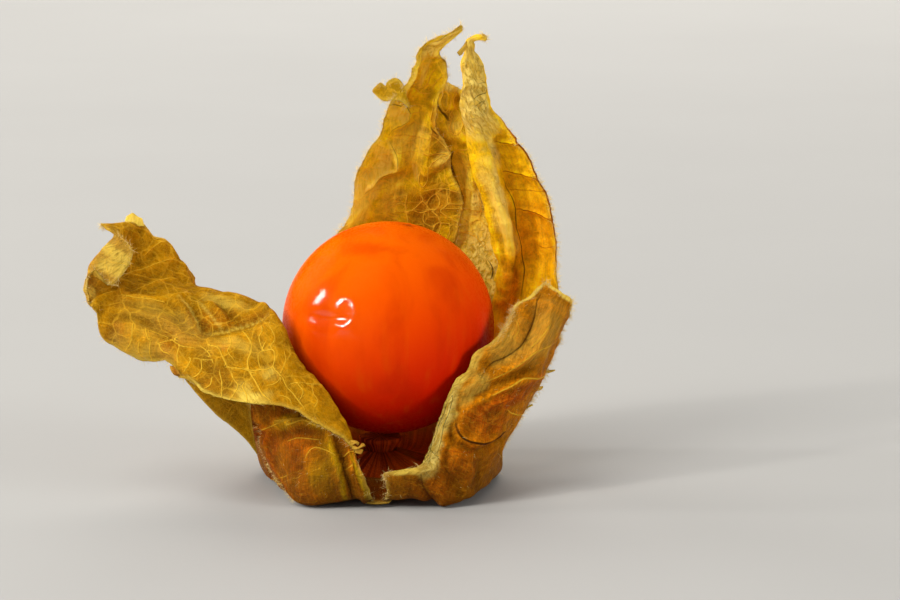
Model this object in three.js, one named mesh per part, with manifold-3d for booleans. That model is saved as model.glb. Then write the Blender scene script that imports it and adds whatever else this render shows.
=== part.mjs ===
// A physalis berry (cape gooseberry) sitting in its opened papery husk.
// Units are millimetres and +Z is up. The origin is the middle of the stem's flat cut end,
// and the five rib corners of the husk stand on the same level, z = 0.
// The husk is one grown calyx: a five-cornered cup whose five lobes part above it.
import * as THREE from 'three';
import { mergeVertices } from 'three/addons/utils/BufferGeometryUtils.js';
import Module from 'manifold-3d';

const wasm = await Module();
wasm.setup();

// Driving dimensions.
const BERRY_RADIUS = 9;
const BERRY_CENTRE = new THREE.Vector3(0.7, 0.5, 13.4);
const PUCKER_DEPTH = 0.18;
const HUSK_THICKNESS = 0.7;
const RIB_HEIGHT = 0.35;
const NET_HEIGHT = 0.16;
const CRUMPLE = 0.12;
const EDGE_WAVE = 0.22;
const STEM_RADIUS = 0.95;
const RECEPTACLE_RADIUS = 1.9;
const RECEPTACLE_TOP = 4.05;

// Middle surface of each lobe. A row runs round the husk, clockwise seen from above, and the
// rows climb from the ring round the stem, over the floor and the corner, to the lobe's tip.

// Front left lobe: its near margin is folded out over itself and its tip curls forward.
const FRONT_LEFT = [
  [[0, -1.4, 2.9], [-0.15, -1.4, 2.9], [-0.3, -1.37, 2.9], [-0.5, -1.3, 2.9],
   [-0.9, -1.1, 2.9], [-1.3, -0.5, 2.9], [-1.35, 0.4, 2.9], [-1.1, 0.85, 2.9]],
  [[0, -5.1, 1.6], [-0.4, -5.1, 1.6], [-0.9, -5.2, 1.6], [-1.6, -5.3, 1.5], [-3.7, -5, 1.2],
   [-5.2, -2.2, 1.5], [-5.5, 1.6, 1.2], [-4.7, 3.4, 1.5]],
  [[-0.4, -8.7, 0.6], [-0.8, -8.8, 0.6], [-1.4, -8.8, 0.7], [-2.4, -8.8, 0.8],
   [-6.2, -8.6, 0.3], [-8.5, -3, 0.6], [-9.8, 3, 0.3], [-8.3, 6.1, 0.8]],
  [[-1.2, -9.5, 2.6], [-1.5, -9.6, 2.6], [-2, -9.6, 2.7], [-3, -9.5, 2.8], [-7, -8.2, 2.7],
   [-9.5, -3.2, 2.8], [-10.8, 2.8, 3], [-9.4, 6.4, 3.2]],
  [[-2.2, -9.6, 5.2], [-2.3, -9.3, 5.8], [-2.4, -9, 5.9], [-2.8, -8.5, 6], [-6.6, -7.2, 5.6],
   [-10.6, -3.6, 5.2], [-12.4, 2, 5.8], [-10.4, 5.8, 6.4]],
  [[-5.2, -9.8, 7.3], [-4.8, -9.2, 7.9], [-4.5, -8.4, 8.7], [-4.2, -7.3, 9.1], [-6.4, -5.9, 9],
   [-11.4, -3.6, 7.4], [-13.6, 1, 7.6], [-11.8, 4.6, 8.8]],
  [[-8.2, -9.6, 8.4], [-7.7, -8.8, 9.6], [-7.1, -7.8, 11.1], [-6.8, -6.4, 12.2],
   [-8, -5, 12.2], [-12.2, -3.2, 9.4], [-14.6, 0.2, 9.2], [-13.2, 3.6, 10.6]],
  [[-11.6, -8.8, 9.1], [-11, -8.2, 10.6], [-10.2, -6.8, 12.6], [-9.1, -3.9, 15.4],
   [-9.8, -2.2, 15.2], [-13, -2, 12], [-15.4, -0.4, 10.6], [-14.2, 2.8, 12.2]],
  [[-15.2, -7, 9.6], [-14.6, -6.8, 11.2], [-13.4, -5.2, 13.4], [-11, -1.8, 16.3],
   [-11.6, -0.2, 16.1], [-14.2, -0.6, 14], [-16.2, -0.6, 12.8], [-15.3, 2.6, 14]],
  [[-18, -4.9, 11.1], [-17.4, -5.2, 12.4], [-16.4, -4.2, 14.2], [-14, -1, 16.7],
   [-14.3, 0.8, 16.8], [-15.4, 1.2, 16.3], [-16.2, 1.8, 16.2], [-15.8, 3, 16.9]],
  [[-20.8, -3.9, 11.9], [-20.5, -4.4, 13.2], [-19.6, -3.6, 14.8], [-17.4, -1, 16.6],
   [-17, 1, 17.1], [-16.8, 2.2, 18], [-16.6, 2.8, 18.4], [-16.9, 3.4, 18.9]],
  [[-23.4, -2.8, 13.6], [-23.2, -3.2, 14.4], [-22.4, -2.8, 15.8], [-20.4, -1, 17.2],
   [-19.4, 0.8, 18], [-18.6, 2.2, 19], [-18.2, 3, 19.8], [-18.4, 3.6, 20.4]],
  [[-22.7, -3.3, 17.4], [-24.7, -2.8, 17], [-24.3, -1.4, 17.4], [-22.2, -0.2, 18.2],
   [-21, 1.2, 19], [-20, 2.4, 20], [-19.4, 3, 20.8], [-19.5, 3.6, 21.3]],
  [[-21.2, -2.8, 20], [-24, -2.2, 19.4], [-23.8, -0.9, 19.4], [-22.6, 0.2, 20],
   [-21.7, 1.4, 20.7], [-21, 2.4, 21.4], [-20.6, 3, 21.8], [-20.9, 3.4, 22.2]],
  [[-21.9, -1.5, 21.6], [-22.6, -1.3, 21.7], [-22.9, -0.6, 21.6], [-22.6, 0.2, 21.7],
   [-22.2, 0.9, 22], [-21.9, 1.6, 22.3], [-21.7, 2.2, 22.6], [-21.7, 2.8, 22.9]],
  [[-23.7, -0.3, 22.2], [-23.9, -0.1, 22.2], [-24, 0.2, 22.3], [-24, 0.5, 22.3],
   [-23.9, 0.8, 22.4], [-23.8, 1.1, 22.5], [-23.6, 1.4, 22.6], [-23.4, 1.7, 22.7]],
];

// Back left lobe: tall, leaning over the berry, with a hooked tip.
const BACK_LEFT = [
  [[-1.1, 0.85, 2.9], [-0.95, 1.05, 2.9], [-0.75, 1.2, 2.9], [-0.5, 1.3, 2.9],
   [-0.2, 1.4, 2.9], [0.1, 1.4, 2.9]],
  [[-4.7, 3.4, 1.5], [-4.2, 4.1, 1.5], [-3.4, 4.6, 1.6], [-2.2, 5, 1.4], [-0.9, 5.4, 1.2],
   [0.3, 5.4, 1.4]],
  [[-8.3, 6.1, 0.8], [-7.4, 7, 0.9], [-6, 8, 0.9], [-4, 9.2, 0.7], [-1.6, 10.2, 0.3],
   [0.6, 10.2, 0.5]],
  [[-9.4, 6.4, 3.2], [-8.4, 7.9, 3.2], [-6.8, 9.2, 3.2], [-4.4, 10.6, 3.2], [-1.6, 11.6, 3.2],
   [1, 11.8, 3.2]],
  [[-9.4, 6.8, 7], [-8.6, 8.6, 7], [-6.8, 10.2, 7], [-4.4, 11.4, 7], [-1.6, 12.2, 7],
   [1.4, 12.5, 7]],
  [[-8.2, 7.4, 11.4], [-7.4, 9.2, 11.4], [-5.8, 10.8, 11.4], [-3.4, 11.7, 11.4],
   [-0.6, 12.3, 11.4], [2.4, 12.5, 11.4]],
  [[-6.2, 8.4, 15.8], [-5.2, 9.8, 15.8], [-3.6, 11, 15.8], [-1.4, 11.7, 15.8],
   [1.4, 12.1, 15.8], [4.2, 12.1, 15.8]],
  [[-3.6, 8.8, 19.8], [-2.6, 9.8, 19.9], [-1, 10.8, 20], [1.2, 11.2, 20], [3.8, 11.2, 20],
   [6.6, 10.7, 20]],
  [[-2.3, 8.8, 23], [-1.4, 9.6, 23], [0, 10.4, 23], [2, 10.7, 23], [4.4, 10.5, 23],
   [6.8, 9.8, 23]],
  [[-1.7, 8.4, 25.6], [-0.9, 9.2, 25.6], [0.5, 9.8, 25.6], [2.4, 10, 25.6], [4.4, 9.8, 25.6],
   [6.2, 9.2, 25.6]],
  [[-0.2, 7.8, 28.3], [0.5, 8.4, 28.3], [1.5, 9, 28.3], [2.8, 9.2, 28.3], [4, 9, 28.3],
   [5.5, 8.6, 28.3]],
  [[0.9, 7.2, 31], [1.4, 7.8, 31], [2.1, 8.3, 31.1], [3, 8.5, 31.2], [4, 8.4, 31.2],
   [5.2, 8, 31.2]],
  [[2.3, 6.8, 33.4], [2.6, 7.2, 33.4], [3.1, 7.6, 33.4], [3.8, 7.8, 33.4], [4.6, 7.8, 33.3],
   [5.6, 7.6, 33.2]],
  [[3, 6.6, 35.2], [3.3, 6.9, 35.3], [3.7, 7.1, 35.4], [4.2, 7.3, 35.4], [4.8, 7.3, 35.3],
   [5.4, 7.1, 35]],
  [[3.9, 6.2, 36.9], [4.1, 6.4, 36.7], [4.4, 6.5, 36.5], [4.7, 6.6, 36.3], [5, 6.7, 36.1],
   [5.4, 6.6, 35.8]],
  [[6.8, 5.3, 38.5], [6.8, 5.4, 38.4], [6.9, 5.4, 38.2], [6.9, 5.5, 38.1], [7, 5.5, 37.9],
   [7.1, 5.5, 37.7]],
];

// Back lobe: short and crumpled, half hidden behind its neighbours.
const BACK = [
  [[0.1, 1.4, 2.9], [0.35, 1.35, 2.9], [0.55, 1.3, 2.9], [0.8, 1.15, 2.9], [1, 0.95, 2.9]],
  [[0.3, 5.4, 1.4], [1.2, 5.3, 1.5], [2.1, 5, 1.5], [3, 4.6, 1.5], [3.8, 4, 1.5]],
  [[0.6, 10.2, 0.5], [2, 9.9, 0.7], [3.5, 9.3, 0.8], [5, 8.5, 0.9], [6.4, 7.4, 0.9]],
  [[1, 11.8, 3.2], [2.8, 11.4, 3.2], [4.6, 10.8, 3.2], [6.3, 9.9, 3.2], [7.7, 8.8, 3.2]],
  [[1.4, 12.5, 7], [3.3, 12.2, 7.2], [5.2, 11.5, 7.4], [7.2, 10.4, 7.5], [8.9, 9.1, 7.5]],
  [[2.4, 12.5, 11.4], [4.2, 12.3, 11.8], [6.2, 11.6, 12], [8.4, 10.6, 12], [10, 9.4, 12]],
  [[4.2, 12.1, 15.8], [5.6, 12.1, 16.2], [7.2, 11.5, 16.4], [9, 10.6, 16.4], [10.5, 9.5, 16.4]],
  [[5.6, 11.8, 20.2], [6.8, 11.5, 20.4], [8.2, 10.9, 20.4], [9.5, 10.2, 20.4],
   [10.6, 9.4, 20.4]],
  [[5.8, 11, 24], [6.9, 10.8, 24], [8, 10.3, 24], [9, 9.8, 24], [9.8, 9.2, 24]],
  [[4.9, 10.2, 27.2], [6, 10, 27.2], [7.1, 9.7, 27.2], [8, 9.3, 27.2], [8.8, 8.8, 27.2]],
  [[4.7, 9.6, 30.4], [5.5, 9.5, 30.4], [6.4, 9.3, 30.4], [7.1, 9, 30.4], [7.8, 8.6, 30.4]],
  [[5, 9.2, 33.6], [5.7, 9, 33.3], [6.4, 8.9, 32.9], [6.9, 8.6, 32.7], [7.4, 8.3, 32.6]],
];

// Back right lobe: its near margin is rolled into a pale blade that runs up to a hooked tip.
const BACK_RIGHT = [
  [[1, 0.95, 2.9], [1.05, 0.9, 2.9], [1.1, 0.85, 2.9], [1.2, 0.7, 2.9], [1.3, 0.5, 2.9],
   [1.38, 0.25, 2.9], [1.4, 0, 2.9]],
  [[3.8, 4, 1.5], [4, 3.8, 1.5], [4.2, 3.5, 1.5], [4.5, 3.1, 1.5], [5, 2.3, 1.3],
   [5.4, 1.3, 1.2], [5.5, 0, 1.4]],
  [[6.4, 7.4, 0.9], [6.7, 7.1, 0.9], [7.1, 6.7, 0.9], [7.8, 5.9, 0.8], [9, 4.5, 0.5],
   [9.9, 2.6, 0.3], [9.8, 0, 0.7]],
  [[7.7, 8.8, 3.2], [8, 8.5, 3.2], [8.4, 8, 3.2], [9, 7, 3.2], [9.9, 5.3, 3.1], [10.6, 3.2, 3],
   [10.4, 0.4, 3]],
  [[8.9, 9.1, 7.5], [9.2, 8.8, 7.5], [9.6, 8.4, 7.5], [10.3, 7.7, 7.5], [11.6, 6.2, 7.4],
   [12.8, 4, 7.3], [12.8, 1.6, 7.2]],
  [[9.4, 8.6, 12], [9.7, 8.1, 12], [10.3, 7.9, 12], [11.3, 7.8, 12], [13, 6.4, 12],
   [14.4, 4.4, 12], [14.5, 2.4, 12]],
  [[10, 8, 16], [10.3, 7.1, 16], [11.3, 6.8, 16], [12.1, 7.8, 16], [13.4, 7.6, 16],
   [14.8, 6, 16], [15.3, 4.2, 16]],
  [[9.6, 7.9, 19.6], [9.9, 6.7, 19.6], [11.2, 6.3, 19.6], [12, 7.6, 19.6], [13, 7.9, 19.6],
   [14.2, 6.8, 19.8], [14.9, 5.2, 20]],
  [[8.9, 7.7, 22.8], [9.1, 6.5, 22.8], [10.5, 6, 22.8], [11.4, 7.4, 22.8], [12.2, 8, 22.8],
   [13.3, 7.2, 22.8], [14.3, 5.6, 22.8]],
  [[8.1, 7.5, 25.8], [8.2, 6.2, 25.8], [9.5, 5.7, 25.8], [10.3, 7.1, 25.8], [11, 7.8, 25.8],
   [12.1, 7.4, 25.8], [13.1, 6.2, 25.8]],
  [[7.7, 7.2, 28.4], [7.5, 6.1, 28.4], [8.7, 5.4, 28.4], [9.4, 6.6, 28.4], [9.9, 7.4, 28.4],
   [10.6, 7.4, 28.4], [11.4, 6.7, 28.4]],
  [[7.3, 6.9, 30.8], [7.1, 6, 30.8], [7.7, 5.4, 30.8], [8.5, 5.4, 30.8], [9, 6, 30.8],
   [9.4, 6.6, 30.7], [9.8, 7.1, 30.6]],
  [[6.9, 6.4, 33.4], [7.1, 5.9, 33.4], [7.5, 5.6, 33.4], [7.9, 5.6, 33.4], [8.3, 5.8, 33.3],
   [8.7, 6.2, 33.2], [9, 6.7, 33]],
  [[7, 5.9, 35.7], [7.2, 5.6, 35.7], [7.5, 5.4, 35.7], [7.8, 5.4, 35.7], [8, 5.5, 35.6],
   [8.3, 5.7, 35.5], [8.5, 6, 35.4]],
  [[7.4, 5.4, 37.6], [7.5, 5.3, 37.5], [7.7, 5.2, 37.5], [7.8, 5.2, 37.4], [8, 5.2, 37.3],
   [8.1, 5.3, 37.2], [8.3, 5.4, 37.1]],
  [[8.7, 4.6, 38.3], [8.8, 4.5, 38.2], [8.8, 4.5, 38], [8.8, 4.4, 37.9], [8.9, 4.4, 37.7],
   [8.9, 4.4, 37.6], [9, 4.4, 37.4]],
];

// Front right lobe: low and boat-shaped, leaning out to the right.
const FRONT_RIGHT = [
  [[1.4, 0, 2.9], [1.35, -0.4, 2.9], [1.2, -0.75, 2.9], [0.85, -1.1, 2.9], [0.35, -1.35, 2.9],
   [0, -1.4, 2.9]],
  [[5.5, 0, 1.4], [5.3, -1.9, 1.5], [4.6, -3.4, 1.5], [3.2, -4.8, 1.2], [1.3, -5.2, 1.5],
   [0, -5.1, 1.6]],
  [[9.8, 0, 0.7], [9, -3.2, 0.8], [7.9, -6.2, 0.6], [6, -8.6, 0.3], [2.6, -8.8, 0.8],
   [0.3, -8.7, 0.6]],
  [[10.4, 0.4, 3], [9.9, -3.2, 2.6], [8.9, -6.2, 2.3], [6.9, -8.6, 2.2], [3.2, -9.8, 2.8],
   [0.6, -9.6, 3.2]],
  [[11.3, -0.4, 5.2], [10.8, -3.8, 4.8], [9.8, -6.2, 4.4], [8, -8.3, 4.3], [5.4, -9.3, 4.4],
   [4, -9.4, 4.2]],
  [[12.6, -0.8, 7.2], [11.8, -3.8, 6.8], [10.6, -6, 6.4], [8.7, -7.7, 6.2], [6.4, -8.4, 6.2],
   [5, -8.2, 6.2]],
  [[13.7, -1, 9.2], [12.7, -3.8, 8.8], [11.3, -5.7, 8.5], [9.5, -7, 8.5], [7.2, -7.3, 8.6],
   [5.7, -7.3, 8.9]],
  [[14.6, -1.2, 11.2], [13.6, -3.6, 10.6], [12.3, -5.3, 10.2], [10.7, -6.2, 10.2],
   [8.8, -6.7, 10.7], [7.1, -6.7, 11.2]],
  [[15, -1.2, 13], [14.4, -3.2, 12.5], [13.3, -4.7, 12.2], [11.9, -5.4, 12.2],
   [10.1, -5.6, 12.7], [8.5, -5.7, 13.6]],
  [[15.6, -1.2, 14.4], [15.1, -2.7, 14.2], [14.3, -3.6, 14.2], [13.2, -3.9, 14.3],
   [12, -3.4, 14.7], [11, -2.8, 15.2]],
  [[16.1, -1.4, 15.2], [15.6, -2.3, 15.3], [14.9, -2.7, 15.6], [14.1, -2.7, 16],
   [13.3, -2.3, 16.3], [12.6, -1.7, 16.6]],
  [[16.3, -1.2, 15.9], [15.9, -1.4, 16.3], [15.4, -1.5, 16.6], [14.9, -1.4, 17],
   [14.5, -1.2, 17.2], [14.1, -1, 17.4]],
];
// Scalloped scrap of margin that stands out from the back left lobe.
const TAB = [
  [[2.9, 7.3, 33.3], [2.6, 7.5, 32.6], [2.3, 7.6, 31.9]],
  [[1.8, 7.2, 33.7], [1.7, 7.4, 32.8], [1.6, 7.5, 31.9]],
  [[1.1, 7.1, 33.6], [1.1, 7.3, 32.8], [1.1, 7.4, 31.9]],
  [[0.7, 7.1, 33.2], [0.6, 7.2, 32.6], [0.6, 7.3, 31.9]],
  [[0.2, 7.0, 33.5], [0.1, 7.1, 32.7], [0.1, 7.2, 32.0]],
  [[-0.2, 6.9, 33.0], [-0.3, 7.0, 32.6], [-0.3, 7.1, 32.2]],
  [[-0.6, 6.9, 32.9], [-0.7, 6.9, 32.6], [-0.7, 7.0, 32.4]],
];

// across: where the mesh has vertex columns, in table columns, with one on each rib's crest and
// one either side of it. ribs: the crests. net: the rib that the side veins branch from.
// welded: up to which table row the lobe is one with the next one.
const LEAVES = [
  {
    rows: FRONT_LEFT,
    across: [0, 0.5, 1, 1.5, 2, 2.5, 3, 3.4, 3.85, 4, 4.15, 4.5, 4.88, 5, 5.12, 5.5, 5.88, 6, 6.12, 6.55, 7],
    ribs: [4, 5, 6],
    net: 3,
    welded: 3,
  },
  {
    rows: BACK_LEFT,
    across: [0, 0.5, 1, 1.45, 1.85, 2, 2.15, 2.55, 3, 3.4, 3.85, 4, 4.15, 4.6, 5],
    ribs: [2, 4],
    net: 3,
    welded: 6,
  },
  {
    rows: BACK,
    across: [0, 0.5, 1, 1.5, 1.85, 2, 2.15, 2.5, 3, 3.5, 4],
    ribs: [2],
    net: 2,
    welded: 4,
  },
  {
    rows: BACK_RIGHT,
    across: [0, 0.5, 1, 1.5, 2, 2.5, 3, 3.4, 3.85, 4, 4.15, 4.5, 4.85, 5, 5.15, 5.6, 6],
    ribs: [4, 5],
    net: 4,
    welded: 3,
  },
  {
    rows: FRONT_RIGHT,
    across: [0, 0.45, 0.85, 1, 1.15, 1.5, 2, 2.5, 2.85, 3, 3.15, 3.6, 4, 4.5, 5],
    ribs: [1, 3],
    net: 2,
    welded: 1,
  },
];
const STEPS_PER_ROW = 2;
const CUP_ROW = 3;

// Smooth curve through hand-placed points, straight on past its ends.
function spline(points, t) {
  const last = points.length - 1;
  const i = Math.min(Math.max(Math.floor(t), 0), last - 1);
  const f = t - i;
  const [p1, p2] = [points[i], points[i + 1]];
  const p0 = i > 0 ? points[i - 1] : p1.map((c, k) => 2 * c - p2[k]);
  const p3 = i + 2 <= last ? points[i + 2] : p2.map((c, k) => 2 * c - p1[k]);
  return p1.map((c, k) => {
    const slope = p2[k] - p0[k];
    const bend = 2 * p0[k] - 5 * c + 4 * p2[k] - p3[k];
    const twist = 3 * c - p0[k] - 3 * p2[k] + p3[k];
    return c + 0.5 * f * (slope + f * (bend + f * twist));
  });
}

function surfacePoint(rows, u, v) {
  return new THREE.Vector3(...spline(rows.map((row) => spline(row, u)), v));
}

// Direction that faces the berry.
function surfaceNormal(rows, u, v) {
  const [uMax, vMax] = [rows[0].length - 1, rows.length - 1];
  const [u0, u1] = [Math.max(u - 0.08, 0), Math.min(u + 0.08, uMax)];
  const [v0, v1] = [Math.max(v - 0.08, 0), Math.min(v + 0.08, vMax)];
  const du = surfacePoint(rows, u1, v).sub(surfacePoint(rows, u0, v));
  const dv = surfacePoint(rows, u, v1).sub(surfacePoint(rows, u, v0));
  return du.cross(dv).normalize();
}

const rise = (x) => THREE.MathUtils.smoothstep(x, 0, 1);

// Inner and outer face of one lobe as grids of points.
function leafFaces({ rows, across, ribs, net }) {
  const vMax = rows.length - 1;
  const stations = vMax * STEPS_PER_ROW;
  const netColumn = across.indexOf(net);
  const faces = { inner: [], outer: [] };
  for (let i = 0; i <= stations; i += 1) {
    const v = i / STEPS_PER_ROW;
    const free = rise((v - CUP_ROW) / 2) * rise((vMax - v) / 1.5);
    const inner = [];
    const outer = [];
    across.forEach((u, j) => {
      const point = surfacePoint(rows, u, v);
      const normal = surfaceNormal(rows, u, v);
      if (j === 0 || j === across.length - 1) {
        const beside = surfacePoint(rows, across[j === 0 ? 1 : j - 1], v);
        const wave = Math.sin(2.9 * v + 5 * u) + 0.6 * Math.sin(5.3 * v + 1.7);
        point.addScaledVector(point.clone().sub(beside).normalize(), EDGE_WAVE * free * wave);
      }
      const crumple = Math.sin(2.3 * u + 1.4 * v) * Math.sin(1.9 * v - 1.2 * u);
      point.addScaledVector(normal, CRUMPLE * free * crumple);
      const onRib = ribs.includes(u) ? rise(v / 1.5) * rise((vMax - v) / 3) : 0;
      const side = Math.abs(j - netColumn);
      const onVein = (i - side + 80) % 4 === 0 || (i + side) % 6 === 0 ? free : 0;
      const half = HUSK_THICKNESS / 2;
      inner.push(point.clone().addScaledVector(normal, half + 0.3 * NET_HEIGHT * onVein));
      const lift = Math.max(RIB_HEIGHT * onRib, NET_HEIGHT * onVein);
      outer.push(point.clone().addScaledVector(normal, -half - lift));
    });
    faces.inner.push(inner);
    faces.outer.push(outer);
  }
  return faces;
}

// Closed shell of one lobe, or of a ring of lobes that share their vertices up to where they part.
function leafShell(leaves) {
  const vertices = [];
  const triangles = [];
  const ring = leaves.length > 1;
  const grids = leaves.map((leaf) => {
    const faces = leafFaces(leaf);
    const index = (face) => face.map((row) => row.map((p) => vertices.push(p) - 1));
    return { inner: index(faces.inner), outer: index(faces.outer) };
  });
  const seamTop = leaves.map((leaf) => (ring ? leaf.welded * STEPS_PER_ROW : -1));
  if (ring) {
    grids.forEach((grid, k) => {
      const next = grids[(k + 1) % grids.length];
      for (let i = 0; i <= seamTop[k]; i += 1) {
        for (const face of ['inner', 'outer']) {
          const a = grid[face][i].length - 1;
          const shared = vertices[grid[face][i][a]];
          shared.add(vertices[next[face][i][0]]).multiplyScalar(0.5);
          next[face][i][0] = grid[face][i][a];
        }
      }
    });
  }
  const quad = (a, b, c, d) => triangles.push(a, b, c, a, c, d);
  grids.forEach(({ inner, outer }, k) => {
    const top = inner.length - 1;
    const end = inner[0].length - 1;
    const before = seamTop[(k + leaves.length - 1) % leaves.length];
    for (let i = 0; i < top; i += 1) {
      for (let j = 0; j < end; j += 1) {
        quad(inner[i][j], inner[i][j + 1], inner[i + 1][j + 1], inner[i + 1][j]);
        quad(outer[i + 1][j + 1], outer[i][j + 1], outer[i][j], outer[i + 1][j]);
      }
      if (i >= before) quad(inner[i][0], inner[i + 1][0], outer[i + 1][0], outer[i][0]);
      if (i >= seamTop[k]) quad(inner[i + 1][end], inner[i][end], outer[i][end], outer[i + 1][end]);
    }
    for (let j = 0; j < end; j += 1) {
      quad(inner[top][j], inner[top][j + 1], outer[top][j + 1], outer[top][j]);
      quad(inner[0][j + 1], inner[0][j], outer[0][j], outer[0][j + 1]);
    }
  });
  const positions = vertices.flatMap((p) => [p.x, p.y, p.z]);
  const geometry = new THREE.BufferGeometry();
  geometry.setAttribute('position', new THREE.Float32BufferAttribute(positions, 3));
  geometry.setIndex(triangles);
  return geometry;
}

function toSolid(geometry) {
  const bare = geometry.clone();
  bare.deleteAttribute('normal');
  bare.deleteAttribute('uv');
  const merged = mergeVertices(bare, 1e-4);
  return new wasm.Manifold(new wasm.Mesh({
    numProp: 3,
    vertProperties: new Float32Array(merged.attributes.position.array),
    triVerts: new Uint32Array(merged.index.array),
  }));
}

function toGeometry(solid) {
  const mesh = solid.getMesh();
  const geometry = new THREE.BufferGeometry();
  geometry.setAttribute('position', new THREE.Float32BufferAttribute(mesh.vertProperties, 3));
  geometry.setIndex(new THREE.Uint32BufferAttribute(mesh.triVerts, 1));
  geometry.computeVertexNormals();
  return geometry;
}

// Husk: the ring of lobes with its tab, its corners trimmed level where it stands.
const ground = new THREE.BoxGeometry(60, 60, 4);
ground.translate(0, 0, -2);
const husk = toSolid(leafShell(LEAVES)).add(toSolid(leafShell([
  { rows: TAB, across: [0, 0.5, 1, 1.5, 2], ribs: [], net: 1 },
]))).subtract(toSolid(ground));

// Berry: a ball with one shallow pucker on its side.
const berry = new THREE.SphereGeometry(BERRY_RADIUS, 48, 24);
berry.rotateX(Math.PI / 2);
berry.deleteAttribute('normal');
berry.deleteAttribute('uv');
const berryGeometry = mergeVertices(berry, 1e-4);
const pucker = new THREE.Vector3(-0.6, -0.766, 0.226).normalize().multiplyScalar(BERRY_RADIUS);
const berryPositions = berryGeometry.attributes.position;
for (let i = 0; i < berryPositions.count; i += 1) {
  const point = new THREE.Vector3().fromBufferAttribute(berryPositions, i);
  const away = point.clone().sub(pucker);
  const along = Math.hypot(away.x, away.y) / 1.9;
  const dent = PUCKER_DEPTH * Math.exp(-along * along - (away.z / 0.9) ** 2);
  point.multiplyScalar(1 - dent / BERRY_RADIUS);
  berryPositions.setXYZ(i, point.x, point.y, point.z);
}
berryGeometry.computeVertexNormals();

// Stem: a cut stub that passes through the husk's floor and widens into the berry's seat.
const stemGeometry = new THREE.LatheGeometry([
  new THREE.Vector2(0, 0),
  new THREE.Vector2(STEM_RADIUS, 0),
  new THREE.Vector2(STEM_RADIUS, 3.3),
  new THREE.Vector2(RECEPTACLE_RADIUS - 0.25, 3.62),
  new THREE.Vector2(RECEPTACLE_RADIUS, 3.8),
  new THREE.Vector2(RECEPTACLE_RADIUS - 0.2, RECEPTACLE_TOP),
  new THREE.Vector2(0, RECEPTACLE_TOP),
], 20);
stemGeometry.rotateX(Math.PI / 2);

function part(name, geometry, color, roughness) {
  const material = new THREE.MeshStandardMaterial({ color, roughness, metalness: 0 });
  const mesh = new THREE.Mesh(geometry, material);
  mesh.name = name;
  return mesh;
}

const berryMesh = part('berry', berryGeometry, 0xe2620c, 0.28);
berryMesh.position.copy(BERRY_CENTRE);

const physalis = new THREE.Group();
physalis.add(
  part('husk', toGeometry(husk), 0xc09030, 0.75),
  berryMesh,
  part('stem', stemGeometry, 0x7f7034, 0.85),
);

export default physalis;
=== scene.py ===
"""A physalis berry (cape gooseberry) sitting in its opened papery husk."""
import math

import bpy
import numpy as np
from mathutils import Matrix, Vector


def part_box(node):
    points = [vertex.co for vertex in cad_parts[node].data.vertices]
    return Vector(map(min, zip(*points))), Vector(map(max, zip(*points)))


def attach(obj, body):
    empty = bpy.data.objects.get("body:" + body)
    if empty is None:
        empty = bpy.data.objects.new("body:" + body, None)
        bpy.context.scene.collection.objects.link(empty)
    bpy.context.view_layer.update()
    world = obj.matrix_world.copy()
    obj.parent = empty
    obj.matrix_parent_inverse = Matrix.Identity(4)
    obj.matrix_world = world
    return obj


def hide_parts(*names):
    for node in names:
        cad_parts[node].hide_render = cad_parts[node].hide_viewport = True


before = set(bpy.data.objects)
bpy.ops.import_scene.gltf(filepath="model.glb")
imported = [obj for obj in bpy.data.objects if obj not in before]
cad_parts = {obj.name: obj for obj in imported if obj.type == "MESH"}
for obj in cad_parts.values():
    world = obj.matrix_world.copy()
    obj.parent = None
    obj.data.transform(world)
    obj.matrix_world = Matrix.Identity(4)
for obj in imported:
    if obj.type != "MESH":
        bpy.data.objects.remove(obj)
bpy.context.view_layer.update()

# Shapes are in millimetres, and MM turns them into metres.
MM = 0.001
BERRY_CENTRE = np.array([0.7, 0.5, 13.4])
BERRY_RADIUS = 9.0
BERRY_GAP = 0.40            # a lobe's middle surface is kept this far off the berry
SHEET = 0.15                # thickness of the paper
COARSE_CELL = 0.19          # grid of the front-left lobe, which is the largest
FINE_CELL = 0.14            # grid of the other lobes
SHARED_CELL = 0.15          # grid of the first rows, which all lobes share
SHARED_ROWS = 6
LINE_REACH = 0.6            # how far from a drawn line its distance is kept
EDGE_STEP = 0.25            # rows between two values of an edge profile
WIDE_NET, FINE_NET = 2.3, 1.15             # cells of the raised veins
LARGE_FACETS, SMALL_FACETS = 3.4, 1.7      # cells of the crumples
HAIR_COUNT, HAIR_SEED = 11000, 5

# Camera: a long lens a little above the fruit, looking at its middle.
camera_data = bpy.data.cameras.new("camera")
camera = bpy.data.objects.new("camera", camera_data)
bpy.context.collection.objects.link(camera)
bpy.context.scene.camera = camera
camera_data.lens = 141.9
camera_data.sensor_width = 36.0
camera_data.clip_start, camera_data.clip_end = 0.01, 5.0
CAMERA_DISTANCE = 0.3
azimuth, elevation = math.radians(-0.88), math.radians(10.99)
aim = Vector((5.925, 0.0, 15.83)) * MM
back = Vector((math.sin(azimuth) * math.cos(elevation), -math.cos(azimuth) * math.cos(elevation),
               math.sin(elevation)))
camera.location = aim + back * CAMERA_DISTANCE
camera.rotation_euler = (-back).to_track_quat("-Z", "Y").to_euler()


def table(text):
    """Rows of points: semicolons part the rows and commas part the points."""
    return [[tuple(map(float, point.split())) for point in row.split(",")] for row in text.split(";")]


def marks(**kinds):
    """Marks as (kind, sizes, points), one for each path after a colon. Lines that begin with a space go on."""
    found = []
    for kind, text in kinds.items():
        for group in text.strip().replace("\n ", " ").split("\n"):
            sizes, paths = group.split(":")
            found += [(kind, tuple(map(float, sizes.split())), points) for points in table(paths)]
    return found


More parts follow.
